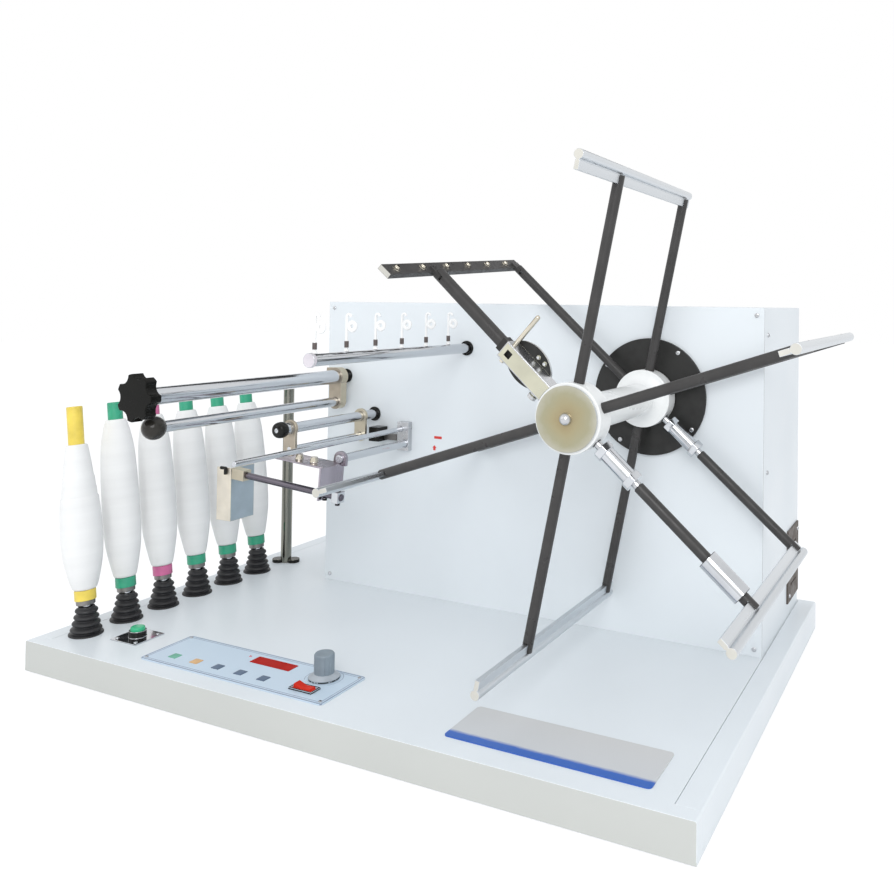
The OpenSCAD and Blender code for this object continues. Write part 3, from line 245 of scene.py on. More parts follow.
def apart(material, first, second):
    """How far apart two values are."""
    return calc(material, "ABSOLUTE", calc(material, "SUBTRACT", first, second))


def diagonal(material, first, second):
    """Length over two legs at right angles."""
    squares = [calc(material, "MULTIPLY", leg, leg) for leg in (first, second)]
    return calc(material, "SQRT", calc(material, "ADD", *squares))


def object_point(material, stretch=(1, 1, 1)):
    """Object coordinates, stretched along each axis."""
    place = add(material, "ShaderNodeTexCoord")
    scale = add(material, "ShaderNodeMapping")
    scale.inputs["Scale"].default_value = stretch
    join(material, place.outputs["Object"], scale.inputs["Vector"])
    return scale.outputs["Vector"]


def axes(material):
    """The three object coordinates in millimetres."""
    split = add(material, "ShaderNodeSeparateXYZ")
    join(material, object_point(material, (1000, 1000, 1000)), split.inputs[0])
    return split.outputs


def ramp(material, source, stops, target=None):
    """Colours or grey values along a source between 0 and 1, into a socket of the shader."""
    made = add(material, "ShaderNodeValToRGB")
    band = made.color_ramp
    for index, (position, value) in enumerate(stops):
        stop = band.elements[index] if index < 2 else band.elements.new(position)
        stop.position = position
        stop.color = (*value, 1) if isinstance(value, (tuple, list)) else (value, value, value, 1)
    join(material, source, made.inputs["Fac"])
    if target:
        join(material, made.outputs["Color"], main_input(material, target))
    return made.outputs["Color"]


def noise(material, scale, stretch=(1, 1, 1), detail=4.0):
    """Noise on object coordinates; scale in waves per metre."""
    made = add(material, "ShaderNodeTexNoise", Scale=scale, Detail=detail)
    join(material, object_point(material, stretch), made.inputs["Vector"])
    return made.outputs["Fac"]


def emboss(material, height, depth, distance):
    """Bump from a height, into the shader's normal."""
    bump = add(material, "ShaderNodeBump", Strength=depth, Distance=distance)
    join(material, height, bump.inputs["Height"])
    join(material, bump.outputs["Normal"], main_input(material, "Normal"))


def vary(material, low, high, scale, stretch=(1, 1, 1), socket="Base Color"):
    """Slow variation between two colours or two values."""
    ramp(material, noise(material, scale, stretch), [(0.34, low), (0.66, high)], socket)


def darker(color, share):
    """A colour scaled by a share."""
    return tuple(share * value for value in color)


def paint(name, color, roughness=0.42, peel=0.10):
    """Baked powder paint: faint orange peel, slow tone changes and patches that are more polished."""
    material = shader(name, color, roughness)
    emboss(material, noise(material, 1100, detail=2.0), peel, 0.0003)
    vary(material, darker(color, 0.965), color, 7)
    vary(material, roughness * 0.8, roughness * 1.2, 14, socket="Roughness")
    return material


def plastic(name, color, roughness=0.35, depth=0.15, share=0.82, index=1.5):
    """Moulded plastic or lacquer with a fine skin and slightly worn patches."""
    material = shader(name, color, roughness, IOR=index)
    emboss(material, noise(material, 1700, detail=3.0), depth, 0.0002)
    vary(material, darker(color, share), color, 60)
    vary(material, roughness * 0.75, roughness * 1.25, 90, socket="Roughness")
    return material


def metal(name, color, roughness, stretch=(1, 1, 1), depth=0.12, share=0.86):
    """Metal with fine grinding marks that run along the axis with the least stretch, and cloudy tone."""
    material = shader(name, color, roughness, 1.0)
    emboss(material, noise(material, 900, stretch), depth, 0.0001)
    vary(material, darker(color, share), color, 34, stretch)
    vary(material, roughness * 0.7, roughness * 1.35, 45, stretch, "Roughness")
    return material


WHITE = paint("white_paint", (0.735, 0.775, 0.80))
# Painted shade: a darker, slightly warmer copy of the white paint for the base's front faces
WHITE_FRONT_SHADE = paint("white_front_shade", (0.53, 0.54, 0.515), 0.5)
# Painted shade: dark grey for the front panel's edge, standing in for the shade in the seam round it
SEAM_SHADE = paint("seam", (0.34, 0.345, 0.34), 0.5)
HUB_WHITE = paint("hub_white", (0.80, 0.81, 0.80), 0.28, 0.05)
BLACK = plastic("black_paint", (0.050, 0.048, 0.047), 0.36, index=1.36)
PLATE_BLACK = plastic("plate_black", (0.013, 0.013, 0.012), 0.52)
CHROME = metal("chrome", (0.63, 0.65, 0.68), 0.10, (1, 0.02, 1), 0.015)
# Painted reflection: the pillar's chrome gets a darker, olive-tinted base and strong vertical streaks of darker tone,
# standing in for the dark surroundings it reflects
CHROME_DARK_REFLECTION = metal("chrome_dark_reflection", (0.30, 0.30, 0.26), 0.12, (1, 1, 0.03), 0.04, 0.6)
SHAFT = metal("shaft", (0.17, 0.155, 0.185), 0.18, (0.04, 1, 1), 0.05, 0.6)
STEEL = metal("steel", (0.60, 0.61, 0.63), 0.26)
NICKEL = metal("nickel", (0.72, 0.67, 0.56), 0.20)
ALUMINIUM = metal("aluminium", (0.70, 0.73, 0.76), 0.34, (1, 0.02, 1))
CUT_END = metal("cut_end", (0.70, 0.69, 0.64), 0.45)
FORK = metal("fork", (0.30, 0.29, 0.28), 0.38, share=0.6)
ZINC = metal("zinc", (0.66, 0.65, 0.52), 0.32, (1, 0.3, 1))
BEIGE = metal("beige", (0.62, 0.56, 0.44), 0.36)
TAN = metal("tan", (0.50, 0.44, 0.36), 0.40, share=0.7)
MAUVE = metal("mauve", (0.44, 0.40, 0.45), 0.30, (1, 1, 0.12), 0.12, 0.7)
# Painted reflection and shade: the hanger's leaf metal in a light warm copy for faces that look front and a darker
# blue-grey copy for faces that look right
LEAF_FRONT_REFLECTION = metal("leaf_front_reflection", (0.97, 0.90, 0.78), 0.42)
LEAF_SIDE_REFLECTION = metal("leaf_side_reflection", (0.44, 0.51, 0.56), 0.40)
BLACK_PLASTIC = plastic("black_plastic", (0.012, 0.012, 0.011), 0.20, 0.08, index=1.30)
STAR_BLACK = plastic("star_black", (0.007, 0.007, 0.006), 0.26, 0.08, index=1.22)
BALL_BLACK = plastic("ball_black", (0.026, 0.024, 0.020), 0.16, 0.05, index=1.38)
RUBBER = plastic("rubber", (0.016, 0.016, 0.018), 0.50, 0.35)
BROWN = plastic("brown", (0.095, 0.075, 0.062), 0.6)
GREY_GRIP = plastic("grey_grip", (0.235, 0.285, 0.325), 0.5)
GREY_SKIRT = plastic("grey_skirt", (0.42, 0.46, 0.50), 0.42)
RED = plastic("red", (0.62, 0.035, 0.02), 0.22, 0.05, index=1.1)
PRINT_RED = plastic("print_red", (0.70, 0.04, 0.03), 0.5)
GREEN = plastic("green", (0.03, 0.46, 0.22), 0.22, 0.05)
KEY_GREEN = plastic("key_green", (0.16, 0.46, 0.33), 0.4)
KEY_ORANGE = plastic("key_orange", (0.72, 0.44, 0.20), 0.4)
KEY_BLUE = plastic("key_blue", (0.10, 0.15, 0.23), 0.4)
CERAMIC = plastic("ceramic", (0.86, 0.86, 0.85), 0.12, 0.03, 0.96)
CAP = plastic("cap", (0.66, 0.62, 0.66), 0.4)
COLLAR = plastic("collar", (0.10, 0.08, 0.075), 0.5)
GREY_CAST = paint("grey_cast", (0.17, 0.18, 0.20), 0.6, 0.3)
DISPLAY = plastic("display", (0.45, 0.028, 0.022), 0.14, 0.03, index=1.04)
TUBE_YELLOW = plastic("tube_yellow", (0.83, 0.64, 0.10), 0.38)
TUBE_GREEN = plastic("tube_green", (0.035, 0.36, 0.21), 0.38)
TUBE_PINK = plastic("tube_pink", (0.60, 0.14, 0.31), 0.38)


def make_yarn():
    """Wound white yarn: crossing threads, wound layers of slightly different tone and a soft sheen."""
    color = (0.85, 0.85, 0.84)
    thread_pitch = 0.9
    material = shader("yarn", color, 0.85, Sheen_Weight=0.06, Sheen_Roughness=0.5)
    x, y, z = axes(material)
    turn = calc(material, "ARCTAN2", y, x)
    threads = []
    for way in (1, -1):
        climb = calc(material, "MULTIPLY", z, 2 * math.pi / thread_pitch)
        phase = calc(material, "ADD", climb, calc(material, "MULTIPLY", turn, way))
        threads.append(calc(material, "SINE", phase))
    fuzz = calc(material, "MULTIPLY", noise(material, 900), 1.5)
    emboss(material, calc(material, "ADD", calc(material, "MAXIMUM", *threads), fuzz), 0.35, 0.0003)
    layers = noise(material, 60, (0.05, 0.05, 1), 5.0)
    ramp(material, layers, [(0.3, darker(color, 0.93)), (0.7, color)], "Base Color")
    return material


def make_disc():
    """The hub's zinc disc: yellow passivation that deepens toward the bolt, and turned rings."""
    material = shader("disc", (0.5, 0.47, 0.33), 0.40, 1.0)
    x, _, z = axes(material)
    radius = diagonal(material, calc(material, "SUBTRACT", x, HUB.x), calc(material, "SUBTRACT", z, HUB.z))
    cloud = calc(material, "MULTIPLY", calc(material, "SUBTRACT", noise(material, 70), 0.5), 12)
    share = calc(material, "DIVIDE", calc(material, "ADD", radius, cloud), 30)
    ramp(material, share, [(0.15, (0.39, 0.32, 0.19)), (0.42, (0.42, 0.37, 0.23)), (0.75, (0.41, 0.39, 0.27)),
                           (1.0, (0.50, 0.49, 0.41))], "Base Color")
    rings = calc(material, "SINE", calc(material, "MULTIPLY", radius, 14))
    emboss(material, calc(material, "ADD", rings, calc(material, "MULTIPLY", noise(material, 800), 2)), 0.10, 0.0001)
    vary(material, 0.30, 0.48, 60, socket="Roughness")
    return material


def make_film():
    """The control panel's pale blue film with two printed border lines and the arc round the speed knob."""
    base = (0.55, 0.66, 0.76)
    line = (0.13, 0.17, 0.27)
    material = shader("film", base, 0.34)
    x, y, _ = axes(material)
    inset = calc(material, "MINIMUM", calc(material, "SUBTRACT", PANEL_SIZE[0] / 2, apart(material, x, PANEL_MIDDLE.x)),
                 calc(material, "SUBTRACT", PANEL_SIZE[1] / 2, apart(material, y, PANEL_MIDDLE.y)))
    first = calc(material, "LESS_THAN", apart(material, inset, 4.2), 0.42)
    second = calc(material, "LESS_THAN", apart(material, inset, 1.5), 0.75)
    kx = calc(material, "SUBTRACT", x, KNOB_AT[0])
    ky = calc(material, "SUBTRACT", y, KNOB_AT[1])
    arc = calc(material, "LESS_THAN", apart(material, diagonal(material, kx, ky), 18.5), 0.30)
    arc = calc(material, "MULTIPLY", arc, calc(material, "GREATER_THAN", ky, -12.0))
    marks = calc(material, "MULTIPLY", calc(material, "MAXIMUM", calc(material, "MAXIMUM", first, second), arc), 0.75)
    marks = calc(material, "ADD", marks, calc(material, "MULTIPLY", noise(material, 30), 0.06), True)
    ramp(material, marks, [(0.0, base), (1.0, line)], "Base Color")
    emboss(material, noise(material, 2600), 0.08, 0.0002)
    return material


def make_nameplate():
    """The bare silver plate with its blue band, which fades upward, along the front edge."""
    material = shader("nameplate", (0.57, 0.57, 0.565), 0.42)
    _, y, _ = axes(material)
    rise = calc(material, "SUBTRACT", y, PLATE_FRONT)
    ragged = calc(material, "MULTIPLY", noise(material, 260, (0.4, 3, 1)), 3.0)
    share = calc(material, "DIVIDE", calc(material, "ADD", rise, ragged), 60)
    ramp(material, share, [(0.0, (0.02, 0.10, 0.42)), (0.165, (0.025, 0.115, 0.45)), (0.235, (0.56, 0.57, 0.58)),
                           (1.0, (0.575, 0.575, 0.57))], "Base Color")
    emboss(material, noise(material, 900, (0.05, 1, 1)), 0.08, 0.0001)
    return material


YARN = make_yarn()
DISC = make_disc()
FILM = make_film()
NAMEPLATE = make_nameplate()


# Piece making

ROUNDED_ANGLE = 32  # degrees
SHARP_ANGLE = 48  # degrees


def finish_piece(name, mesh, body, stands_for=(), sharp=SHARP_ANGLE):
    """An object from a mesh in metres: smooth with flat faces kept flat, riding on its body."""
    mesh.shade_smooth()
    mesh.set_sharp_from_angle(angle=math.radians(sharp))
    made = bpy.data.objects.new(name, mesh)
    bpy.context.scene.collection.objects.link(made)
    flatten = made.modifiers.new("flatten", "WEIGHTED_NORMAL")
    flatten.keep_sharp = True
    bpy.context.view_layer.update()
    final = bpy.data.meshes.new_from_object(made.evaluated_get(bpy.context.evaluated_depsgraph_get()))
    made.modifiers.clear()
    made.data = final
    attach(made, body)
    if stands_for:
        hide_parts(*stands_for)
    return made


def made_mesh(bm, name, materials=()):
    """Turns a working mesh into a named one with its materials, and frees it."""
    mesh = bpy.data.meshes.new(name)
    for material in materials:
        mesh.materials.append(material)
    bm.to_mesh(mesh)
    bm.free()
    return mesh


def weld(bm, gap=1e-6):
    """Merges the points that meet, and turns all faces outward."""
    bmesh.ops.remove_doubles(bm, verts=bm.verts, dist=gap)
    bmesh.ops.recalc_face_normals(bm, faces=bm.faces)


def linked(items, beside):
    """Items in groups that hang together; beside gives an item's neighbours. The items are gone through in the order
    given and never in that of a set, which changes from run to run and would change the shapes."""
    left, groups = set(items), []
    for start in items:
        if start in left:
            left.discard(start)
            group = [start]
            for item in group:
                for other in beside(item):
                    if other in left:
                        left.discard(other)
                        group.append(other)
            groups.append(group)
    return groups


def bevel(bm, edges, width, segments, profile=0.5, **more):
    """Rounds edges; width in millimetres."""
    bmesh.ops.bevel(bm, geom=edges, offset=width * MM, offset_type="OFFSET", segments=segments, profile=profile,
                    affect="EDGES", clamp_overlap=True, **more)


def round_edges(bm, width, segments=2, only=None):
    """Bevels the edges that turn by more than ROUNDED_ANGLE, each chain by itself; width in millimetres."""
    sharp = [edge for edge in bm.edges if len(edge.link_faces) == 2
             and edge.calc_face_angle(0) > math.radians(ROUNDED_ANGLE) and (only is None or only(edge))]
    for chain in linked(sharp, lambda edge: [other for vert in edge.verts for other in vert.link_edges]):
        bevel(bm, chain, width, segments)


def cleaned(node):
    """A CAD node's mesh with its corners merged and its flat faces whole."""
    bm = bmesh.new()
    bm.from_mesh(nodes[node].data)
    bmesh.ops.remove_doubles(bm, verts=bm.verts, dist=2e-6)
    bmesh.ops.dissolve_limit(bm, angle_limit=math.radians(0.4), verts=bm.verts, edges=bm.edges)
    return bm


def face_points(bm):
    """For each face the middle of its largest triangle, which lies on the face whatever its outline, in millimetres."""
    best = {}
    for loops in bm.calc_loop_triangles():
        corners = [loop.vert.co for loop in loops]
        area = (corners[1] - corners[0]).cross(corners[2] - corners[0]).length
        if area >= best.get(loops[0].face, (0, None))[0]:
            best[loops[0].face] = (area, sum(corners, Vector()) / 3 / MM)
    return {face: point for face, (_, point) in best.items()}


def dress(node, materials, pick=None, width=0.4, segments=2, only=None, sharp=SHARP_ANGLE, change=None):
    """A piece that stands for a CAD node, with rounded edges. pick gives a face's material number from a point on it
    and its normal, in millimetres. It is asked before the edges are rounded, and the narrow faces that the rounding
    makes take the first material. change works on the mesh before the rounding; only says which edges are rounded."""
    bm = cleaned(node)
    if pick:
        for face, point in face_points(bm).items():
            face.material_index = pick(point, face.normal)
    if change:
        change(bm)
    round_edges(bm, width, segments, only)
    return finish_piece("v_" + node, made_mesh(bm, node, materials), body_of[node], [node], sharp)


def smooth_line(points, steps=5):
    """A Catmull-Rom line through points of any length."""
    line = []
    for index in range(len(points) - 1):
        before = points[max(index - 1, 0)]
        start, end = points[index], points[index + 1]
        after = points[min(index + 2, len(points) - 1)]
        for step in range(steps):
            t = step / steps
            line.append(tuple(0.5 * (2 * b + (c - a) * t + (2 * a - 5 * b + 4 * c - d) * t * t
                                     + (3 * b - a - 3 * c + d) * t ** 3)
                              for a, b, c, d in zip(before, start, end, after)))
    line.append(tuple(points[-1]))
    return line


def lathe(bm, bands, place=Matrix.Identity(4), steps=64):
    """Turned surfaces in one mesh. bands is a list of (material number, [(radius, height), ...]) in millimetres."""
    for number, line in bands:
        rows = []
        for radius, height in line:
            if radius < 1e-6:
                rows.append([bm.verts.new(place @ Vector((0, 0, height)) * MM)])
                continue
            rows.append([bm.verts.new(place @ Vector((radius * math.cos(2 * math.pi * k / steps),
                                                      radius * math.sin(2 * math.pi * k / steps), height)) * MM)
                         for k in range(steps)])
        for low, high in zip(rows, rows[1:]):
            for k in range(steps):
                after = (k + 1) % steps
                if len(low) == 1:
                    corners = [low[0], high[after], high[k]]
                elif len(high) == 1:
                    corners = [low[k], low[after], high[0]]
                else:
                    corners = [low[k], low[after], high[after], high[k]]
                bm.faces.new(corners).material_index = number


def lathe_piece(name, bands, body, materials, place=Matrix.Identity(4), steps=64, stands_for=(),
                sharp=SHARP_ANGLE):
    """A turned piece whose texture coordinates run along its own axis; place is a frame in millimetres."""
    bm = bmesh.new()
    lathe(bm, bands, steps=steps)
    weld(bm)
    made = finish_piece(name, made_mesh(bm, name, materials), body, stands_for, sharp)
    made.parent = None
    made.matrix_world = Matrix.Translation(place.translation * MM) @ place.to_3x3().to_4x4()
    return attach(made, body)


def stack(bm, rows):
    """Walls from each ring of points to the next, and a cap at both ends."""
    for first, second in zip(rows, rows[1:]):
        for k in range(len(first)):
            after = (k + 1) % len(first)
            bm.faces.new([first[k], first[after], second[after], second[k]])
    bm.faces.new(rows[-1])
    bm.faces.new(list(reversed(rows[0])))


def slab(name, low, high, corner, material, body, edge=0.3, dome=0.0, stands_for=()):
    """A plate with rounded corners, soft top edges and, if asked, a slightly domed top; corners in millimetres."""
    bm = bmesh.new()
    size = [high[axis] - low[axis] for axis in range(3)]
    rings = []
    for inset, height in ((0, 0), (0, size[2] - edge), (edge * 0.3, size[2] - edge * 0.3), (edge, size[2])):
        ring = []
        for turn in range(4):
            for step in range(7):
                angle = math.pi / 2 * (turn + step / 6)
                cx = (size[0] / 2 - corner) * (1 if turn in (0, 3) else -1)
                cy = (size[1] / 2 - corner) * (1 if turn in (0, 1) else -1)
                r = max(corner - inset, 0.01)
                shift = (inset - (corner - r)) if corner < inset else 0
                ring.append((cx + r * math.cos(angle) - math.copysign(shift, cx),
                             cy + r * math.sin(angle) - math.copysign(shift, cy), height))
        rings.append(ring)
    for share in (0.75, 0.45, 0.15) if dome else ():
        rings.append([(x * share, y * share, size[2] + dome * (1 - share * share)) for x, y, _ in rings[3]])
    centre = Vector(((low[0] + high[0]) / 2, (low[1] + high[1]) / 2, low[2]))
    stack(bm, [[bm.verts.new((centre + Vector(point)) * MM) for point in ring] for ring in rings])
    return finish_piece(name, made_mesh(bm, name, [material]), body, stands_for)


def plate_for(node, corner, material, body, edge=0.25, dome=0.0):
    """A slab in the place of a CAD node, with any dome inside the node's height."""
    slab("v_" + node, low_corner(node), high_corner(node) - Vector((0, 0, dome)), corner, material, body, edge, dome,
         [node])


def away(point, axis_point, along):
    """Distance of a point from an axis through another point that runs along X, Y or Z."""
    return math.hypot(*[point[i] - axis_point[i] for i in range(3) if i != along])


# Base, cabinet and plates

def shaded_front_face(point, normal):
    """Painted shade: the base's front faces, in a band along its front edge, take a darker, slightly warmer copy of the
    white paint.
    """
    return 1 if normal.y < -0.9 and point.y < SHADED_FRONT_Y else 0


def panel_edge_shade(point, normal):
    """Painted shade of the seam round the front panel: its own thickness along its outline takes a dark grey, so it
    shows as a grey line.
    """
    return 1 if point.x > SEAM_RIGHT or point.x < SEAM_LEFT or point.z > SEAM_TOP else 0


def edge_height(edge):
    """Height of an edge's middle in millimetres."""
    return (edge.verts[0].co.z + edge.verts[1].co.z) / (2 * MM)


# The base's front faces take the painted-shade white
dress("base_plate", [WHITE, WHITE_FRONT_SHADE], shaded_front_face, 0.35, only=lambda edge: edge_height(edge) < 1)
dress("base_cover", [WHITE, WHITE_FRONT_SHADE], shaded_front_face, 0.35, only=lambda edge: edge_height(edge) > 4)
dress("side_rails", [WHITE, WHITE_FRONT_SHADE], shaded_front_face, 0.35)
# The front panel's outline takes the painted seam shade
dress("front_panel", [WHITE, SEAM_SHADE], panel_edge_shade, 0.3)
dress("cabinet_cover", [WHITE], width=0.5)
dress("vent_plate", [BROWN], width=0.3)
dress("shaft_plate", [PLATE_BLACK], width=0.5)
for node, material in (("gear_motor", GREY_CAST), ("traverse_block", GREY_CAST), ("spindles", CHROME),
                       ("reel_shaft", STEEL)):
    nodes[node].data.materials.clear()
    nodes[node].data.materials.append(material)


def printed_mark(name, outline, place):
    """A red mark printed on the cabinet's front; the outline and its place are (x, z) in millimetres."""
    bm = bmesh.new()
    stack(bm, [[bm.verts.new(Vector((place[0] + x, y, place[1] + z)) * MM) for x, z in outline]
               for y in (PANEL_FRONT, PANEL_FRONT - 0.15)])
    bmesh.ops.recalc_face_normals(bm, faces=bm.faces)
    finish_piece(name, made_mesh(bm, name, [PRINT_RED]), "cabinet")


printed_mark("label_dash", [(-5.5, -1.6), (5.5, -1.6), (5.5, 1.6), (-5.5, 1.6)], (-55.0, 231.0))
printed_mark("label_arrow", [(-1.7, 0), (1.7, 0), (1.7, 3.2), (2.9, 3.2), (0, 6.2), (-2.9, 3.2), (-1.7, 3.2)],
             (-60.0, 215.0))


def cross_screw(radius, height):
    """A pan head with a cross recess, base on Z = 0, as a mesh in millimetres."""
    bm = bmesh.new()
    low = height * 0.45
    lathe(bm, [(0, [(0, 0), (radius, 0), (radius, low), (radius * 0.95, height * 0.72), (radius * 0.80, height * 0.93),
                    (radius * 0.60, height), (0, height)])], Matrix.Scale(1 / MM, 4), 32)
    weld(bm, 1e-5)
    head = bpy.data.objects.new("head", made_mesh(bm, "head"))
    cutters = []
    for turn in (0, math.pi / 2):
        cutter = bmesh.new()
        bmesh.ops.create_cube(cutter, size=1)
        bmesh.ops.scale(cutter, vec=(radius * 1.25, radius * 0.27, height), verts=cutter.verts)
        bmesh.ops.rotate(cutter, matrix=Matrix.Rotation(turn, 3, "Z"), verts=cutter.verts)
        bmesh.ops.translate(cutter, vec=(0, 0, height * (0.98 if turn else 1.0)), verts=cutter.verts)
        cutters.append(bpy.data.objects.new("cutter", made_mesh(cutter, "cutter")))
    for part in [head] + cutters:
        bpy.context.scene.collection.objects.link(part)
    for part in cutters:
        cut = head.modifiers.new("cut", "BOOLEAN")
        cut.operation = "DIFFERENCE"
        cut.solver = "EXACT"
        cut.object = part
    bpy.context.view_layer.update()
    mesh = bpy.data.meshes.new_from_object(head.evaluated_get(bpy.context.evaluated_depsgraph_get()))
    for part in [head] + cutters:
        bpy.data.objects.remove(part)
    return mesh


def screw_heads():
    """A cross-recessed head where each small cone of the CAD node sits."""
    bm = cleaned("panel_screws")
    shapes = {}
    made = bmesh.new()
    cones = linked(bm.verts, lambda vert: [other for edge in vert.link_edges for other in edge.verts])
    for count, cone in enumerate(cones, 1):
        places = [vert.co / MM for vert in cone]
        low = Vector([min(place[i] for place in places) for i in range(3)])
        high = Vector([max(place[i] for place in places) for i in range(3)])
        size = high - low
        along = min(range(3), key=lambda i: size[i])
        spread = [max((place - (low + high) / 2)[i] for place in places if abs(place[along] - end[along]) < 0.05)
                  for end in (low, high) for i in [(along + 1) % 3]]
        way = 1 if spread[0] > spread[1] else -1
        radius, height = max(spread), size[along]
        key = (round(radius, 2), round(height, 2))
        if key not in shapes:
            shapes[key] = cross_screw(*key)
        out = Vector([way if i == along else 0 for i in range(3)])
        base = (low + high) / 2 - out * height / 2
        turn = out.to_track_quat("Z", "Y").to_matrix().to_4x4() @ Matrix.Rotation(count * 0.7, 4, "Z")
        copy = shapes[key].copy()
        copy.transform(Matrix.Scale(MM, 4) @ Matrix.Translation(base) @ turn)
        made.from_mesh(copy)
    bm.free()
    finish_piece("v_panel_screws", made_mesh(made, "screws", [STEEL]), "cabinet",
                 ["panel_screws"], 30)


screw_heads()

# Control panel and plates on the base

push = middle("push_plate")
dress("push_plate", [CHROME, BLACK_PLASTIC],
      lambda p, n: 1 if away(p, push, 2) < PUSH_RING_R and p.z > PLATE_FACE else 0, 0.4)
low, high = low_corner("push_button"), high_corner("push_button")
crown = smooth_line([(7.5, high.z - 2.4), (7.35, high.z - 1.3), (6.6, high.z - 0.45), (4.5, high.z - 0.12),
                     (0, high.z)])
lathe_piece("v_push_button", [(0, [(0, low.z), (7.5, low.z)] + crown)], "push", [GREEN],
            Matrix.Translation((push.x, push.y, 0)), stands_for=["push_button"])


def panel_face(point, normal):
    """Film, lamp, steel shaft and the rocker's black frame."""
    if point.z < PLATE_FACE:
        return 0
    if away(point, (*LAMP_AT, 0), 2) < 2:
        return 1
    if away(point, (*KNOB_AT, 0), 2) < 4:
        return 2
    return 3


dress("control_panel", [FILM, RED, STEEL, BLACK_PLASTIC], panel_face, 0.25)
plate_for("display_window", 0.5, DISPLAY, "cabinet")
plate_for("nameplate", 4.0, NAMEPLATE, "cabinet")
for number, material in enumerate((KEY_GREEN, KEY_ORANGE, KEY_BLUE, KEY_BLUE, KEY_BLUE), 1):
    plate_for("key_%d" % number, 1.0, material, "key_%d" % number, 0.35, 0.25)
rocker_at = middle("rocker")


def narrow_top(bm):
    """The rocker's upper part, narrower than its body, so that the black frame shows round it."""
    for vert in bm.verts:
        if vert.co.z > (TOP + 2.2) * MM:
            vert.co.x = rocker_at.x * MM + ROCKER_SHARE * (vert.co.x - rocker_at.x * MM)
            vert.co.y = rocker_at.y * MM + ROCKER_SHARE * (vert.co.y - rocker_at.y * MM)


def slim_knob(bm):
    """The speed knob's outside a little slimmer than its solid; the bore keeps its size."""
    for vert in bm.verts:
        if away(vert.co / MM, (*KNOB_AT, 0), 2) > KNOB_BORE:
            vert.co.x = (KNOB_AT[0] + KNOB_SHARE * (vert.co.x / MM - KNOB_AT[0])) * MM
            vert.co.y = (KNOB_AT[1] + KNOB_SHARE * (vert.co.y / MM - KNOB_AT[1])) * MM


dress("rocker", [RED], width=0.5, segments=3, change=narrow_top)
knob_low = low_corner("speed_knob").z


def knob_face(point, normal):
    """Black foot, pale skirt and grey grip."""
    if point.z < knob_low + 0.9:
        return 2
    return 1 if point.z < knob_low + 5.4 and away(point, (*KNOB_AT, 0), 2) > 8 else 0


dress("speed_knob", [GREY_GRIP, GREY_SKIRT, BLACK_PLASTIC], knob_face, 0.35, change=slim_knob)

# Bobbins

CORE = [(8.2, 16.3), (10.8, 16.6)]
FIRST_YARN = [(12.4, 18.2), (15.0, 26.8), (18.9, 45.2), (20.7, 62.6), (21.0, 80.0), (20.3, 100.0), (19.3, 114.0)]
OTHER_YARN = [(12.2, 18.4), (14.8, 30.4), (18.4, 51.0), (19.8, 70.6), (20.0, 90.2), (19.7, 117.6), (18.9, 143.0),
              (17.5, 164.6), (14.6, 182.0), (11.6, 193.5), (10.2, 195.8), (8.2, 196.0)]
TUBES = [TUBE_YELLOW, TUBE_GREEN, TUBE_PINK, TUBE_GREEN, TUBE_GREEN, TUBE_GREEN]


def first_yarn():
    """The first bobbin's yarn, used down in three small steps near its top."""
    line = smooth_line(FIRST_YARN)
    steps = [(19.0, 116.0), (17.9, 117.6), (17.4, 126.0), (16.9, 127.2), (16.0, 138.0), (15.3, 139.4), (14.0, 152.0),
             (12.2, 166.0), (11.2, 172.5), (10.0, 173.8), (8.2, 174.0)]
    return line + steps


def tube_line():
    """The tube from its foot's top to its rounded, hollow tip."""
    bottom = [(10.9, 5.3), (10.9, 15.4), (10.5, 16.1), (8.1, 16.3)]
    tip = [(8.1, 1.6), (8.0, 0.7), (7.7, 0.1), (7.3, 0), (6.8, 0.2), (6.45, 1.2), (6.44, 9.0), (0, 9.2)]
    return bottom + [(radius, TUBE_L - drop) for radius, drop in tip]


for index, tube in enumerate(TUBES):
    node = "bobbin_%d" % (index + 1)
    yarn = smooth_line(OTHER_YARN) if index else first_yarn()
    foot = [(5.1, 0), (9.0, 0), (9.6, 0.6), (9.7, 4.7), (10.7, 5.1), (10.9, 5.3)]
    lathe_piece("v_" + node, [(2, foot), (1, tube_line()), (0, CORE + yarn)], node, [YARN, tube, FORK],
                spindle_frame(index) @ Matrix.Translation((0, 0, FOOT_GAP)), 72, [node], 60)


def bellows():
    """A soft rubber boot under each bobbin: a thin flange and round ribs that shrink upward."""
    bm = bmesh.new()
    line = [(17.5, 0), (17.5, 1.0), (17.1, 1.6), (14.6, 2.0)]
    line += smooth_line([(14.6, 2.0), (13.6, 3.0), (15.2, 4.2), (15.9, 5.5), (15.0, 7.0), (12.6, 8.6), (12.0, 9.6),
                         (13.8, 11.0), (14.2, 12.2), (13.4, 13.6), (11.0, 15.2), (10.6, 16.2), (12.2, 17.6),
                         (12.7, 18.8), (11.9, 20.2), (9.8, 21.8), (9.4, 22.8), (10.8, 24.0), (11.5, 25.4),
                         (10.9, 27.0), (9.0, 28.4), (8.4, 29.2)], 3)
    line += [(8.3, 30), (6.0, 30), (5.4, 29.4)]
    for index in range(len(TUBES)):
        place = Matrix.Translation((SPINDLE_X, SPINDLE_Y0 + SPINDLE_PITCH * index, TOP))
        lathe(bm, [(0, [(5.4, 0)] + line)], place, 56)
    weld(bm)
    finish_piece("v_bellows_mounts", made_mesh(bm, "bellows", [RUBBER]), "cabinet",
                 ["bellows_mounts"], 60)


bellows()
# The pillar's chrome carries painted dark reflection; its black feet are their own colour
dress("guide_pillar", [CHROME_DARK_REFLECTION, BLACK_PLASTIC], lambda p, n: 1 if away(p, PILLAR_AT, 2) > PILLAR_R else 0, 0.5)

# Rods on the cabinet's front

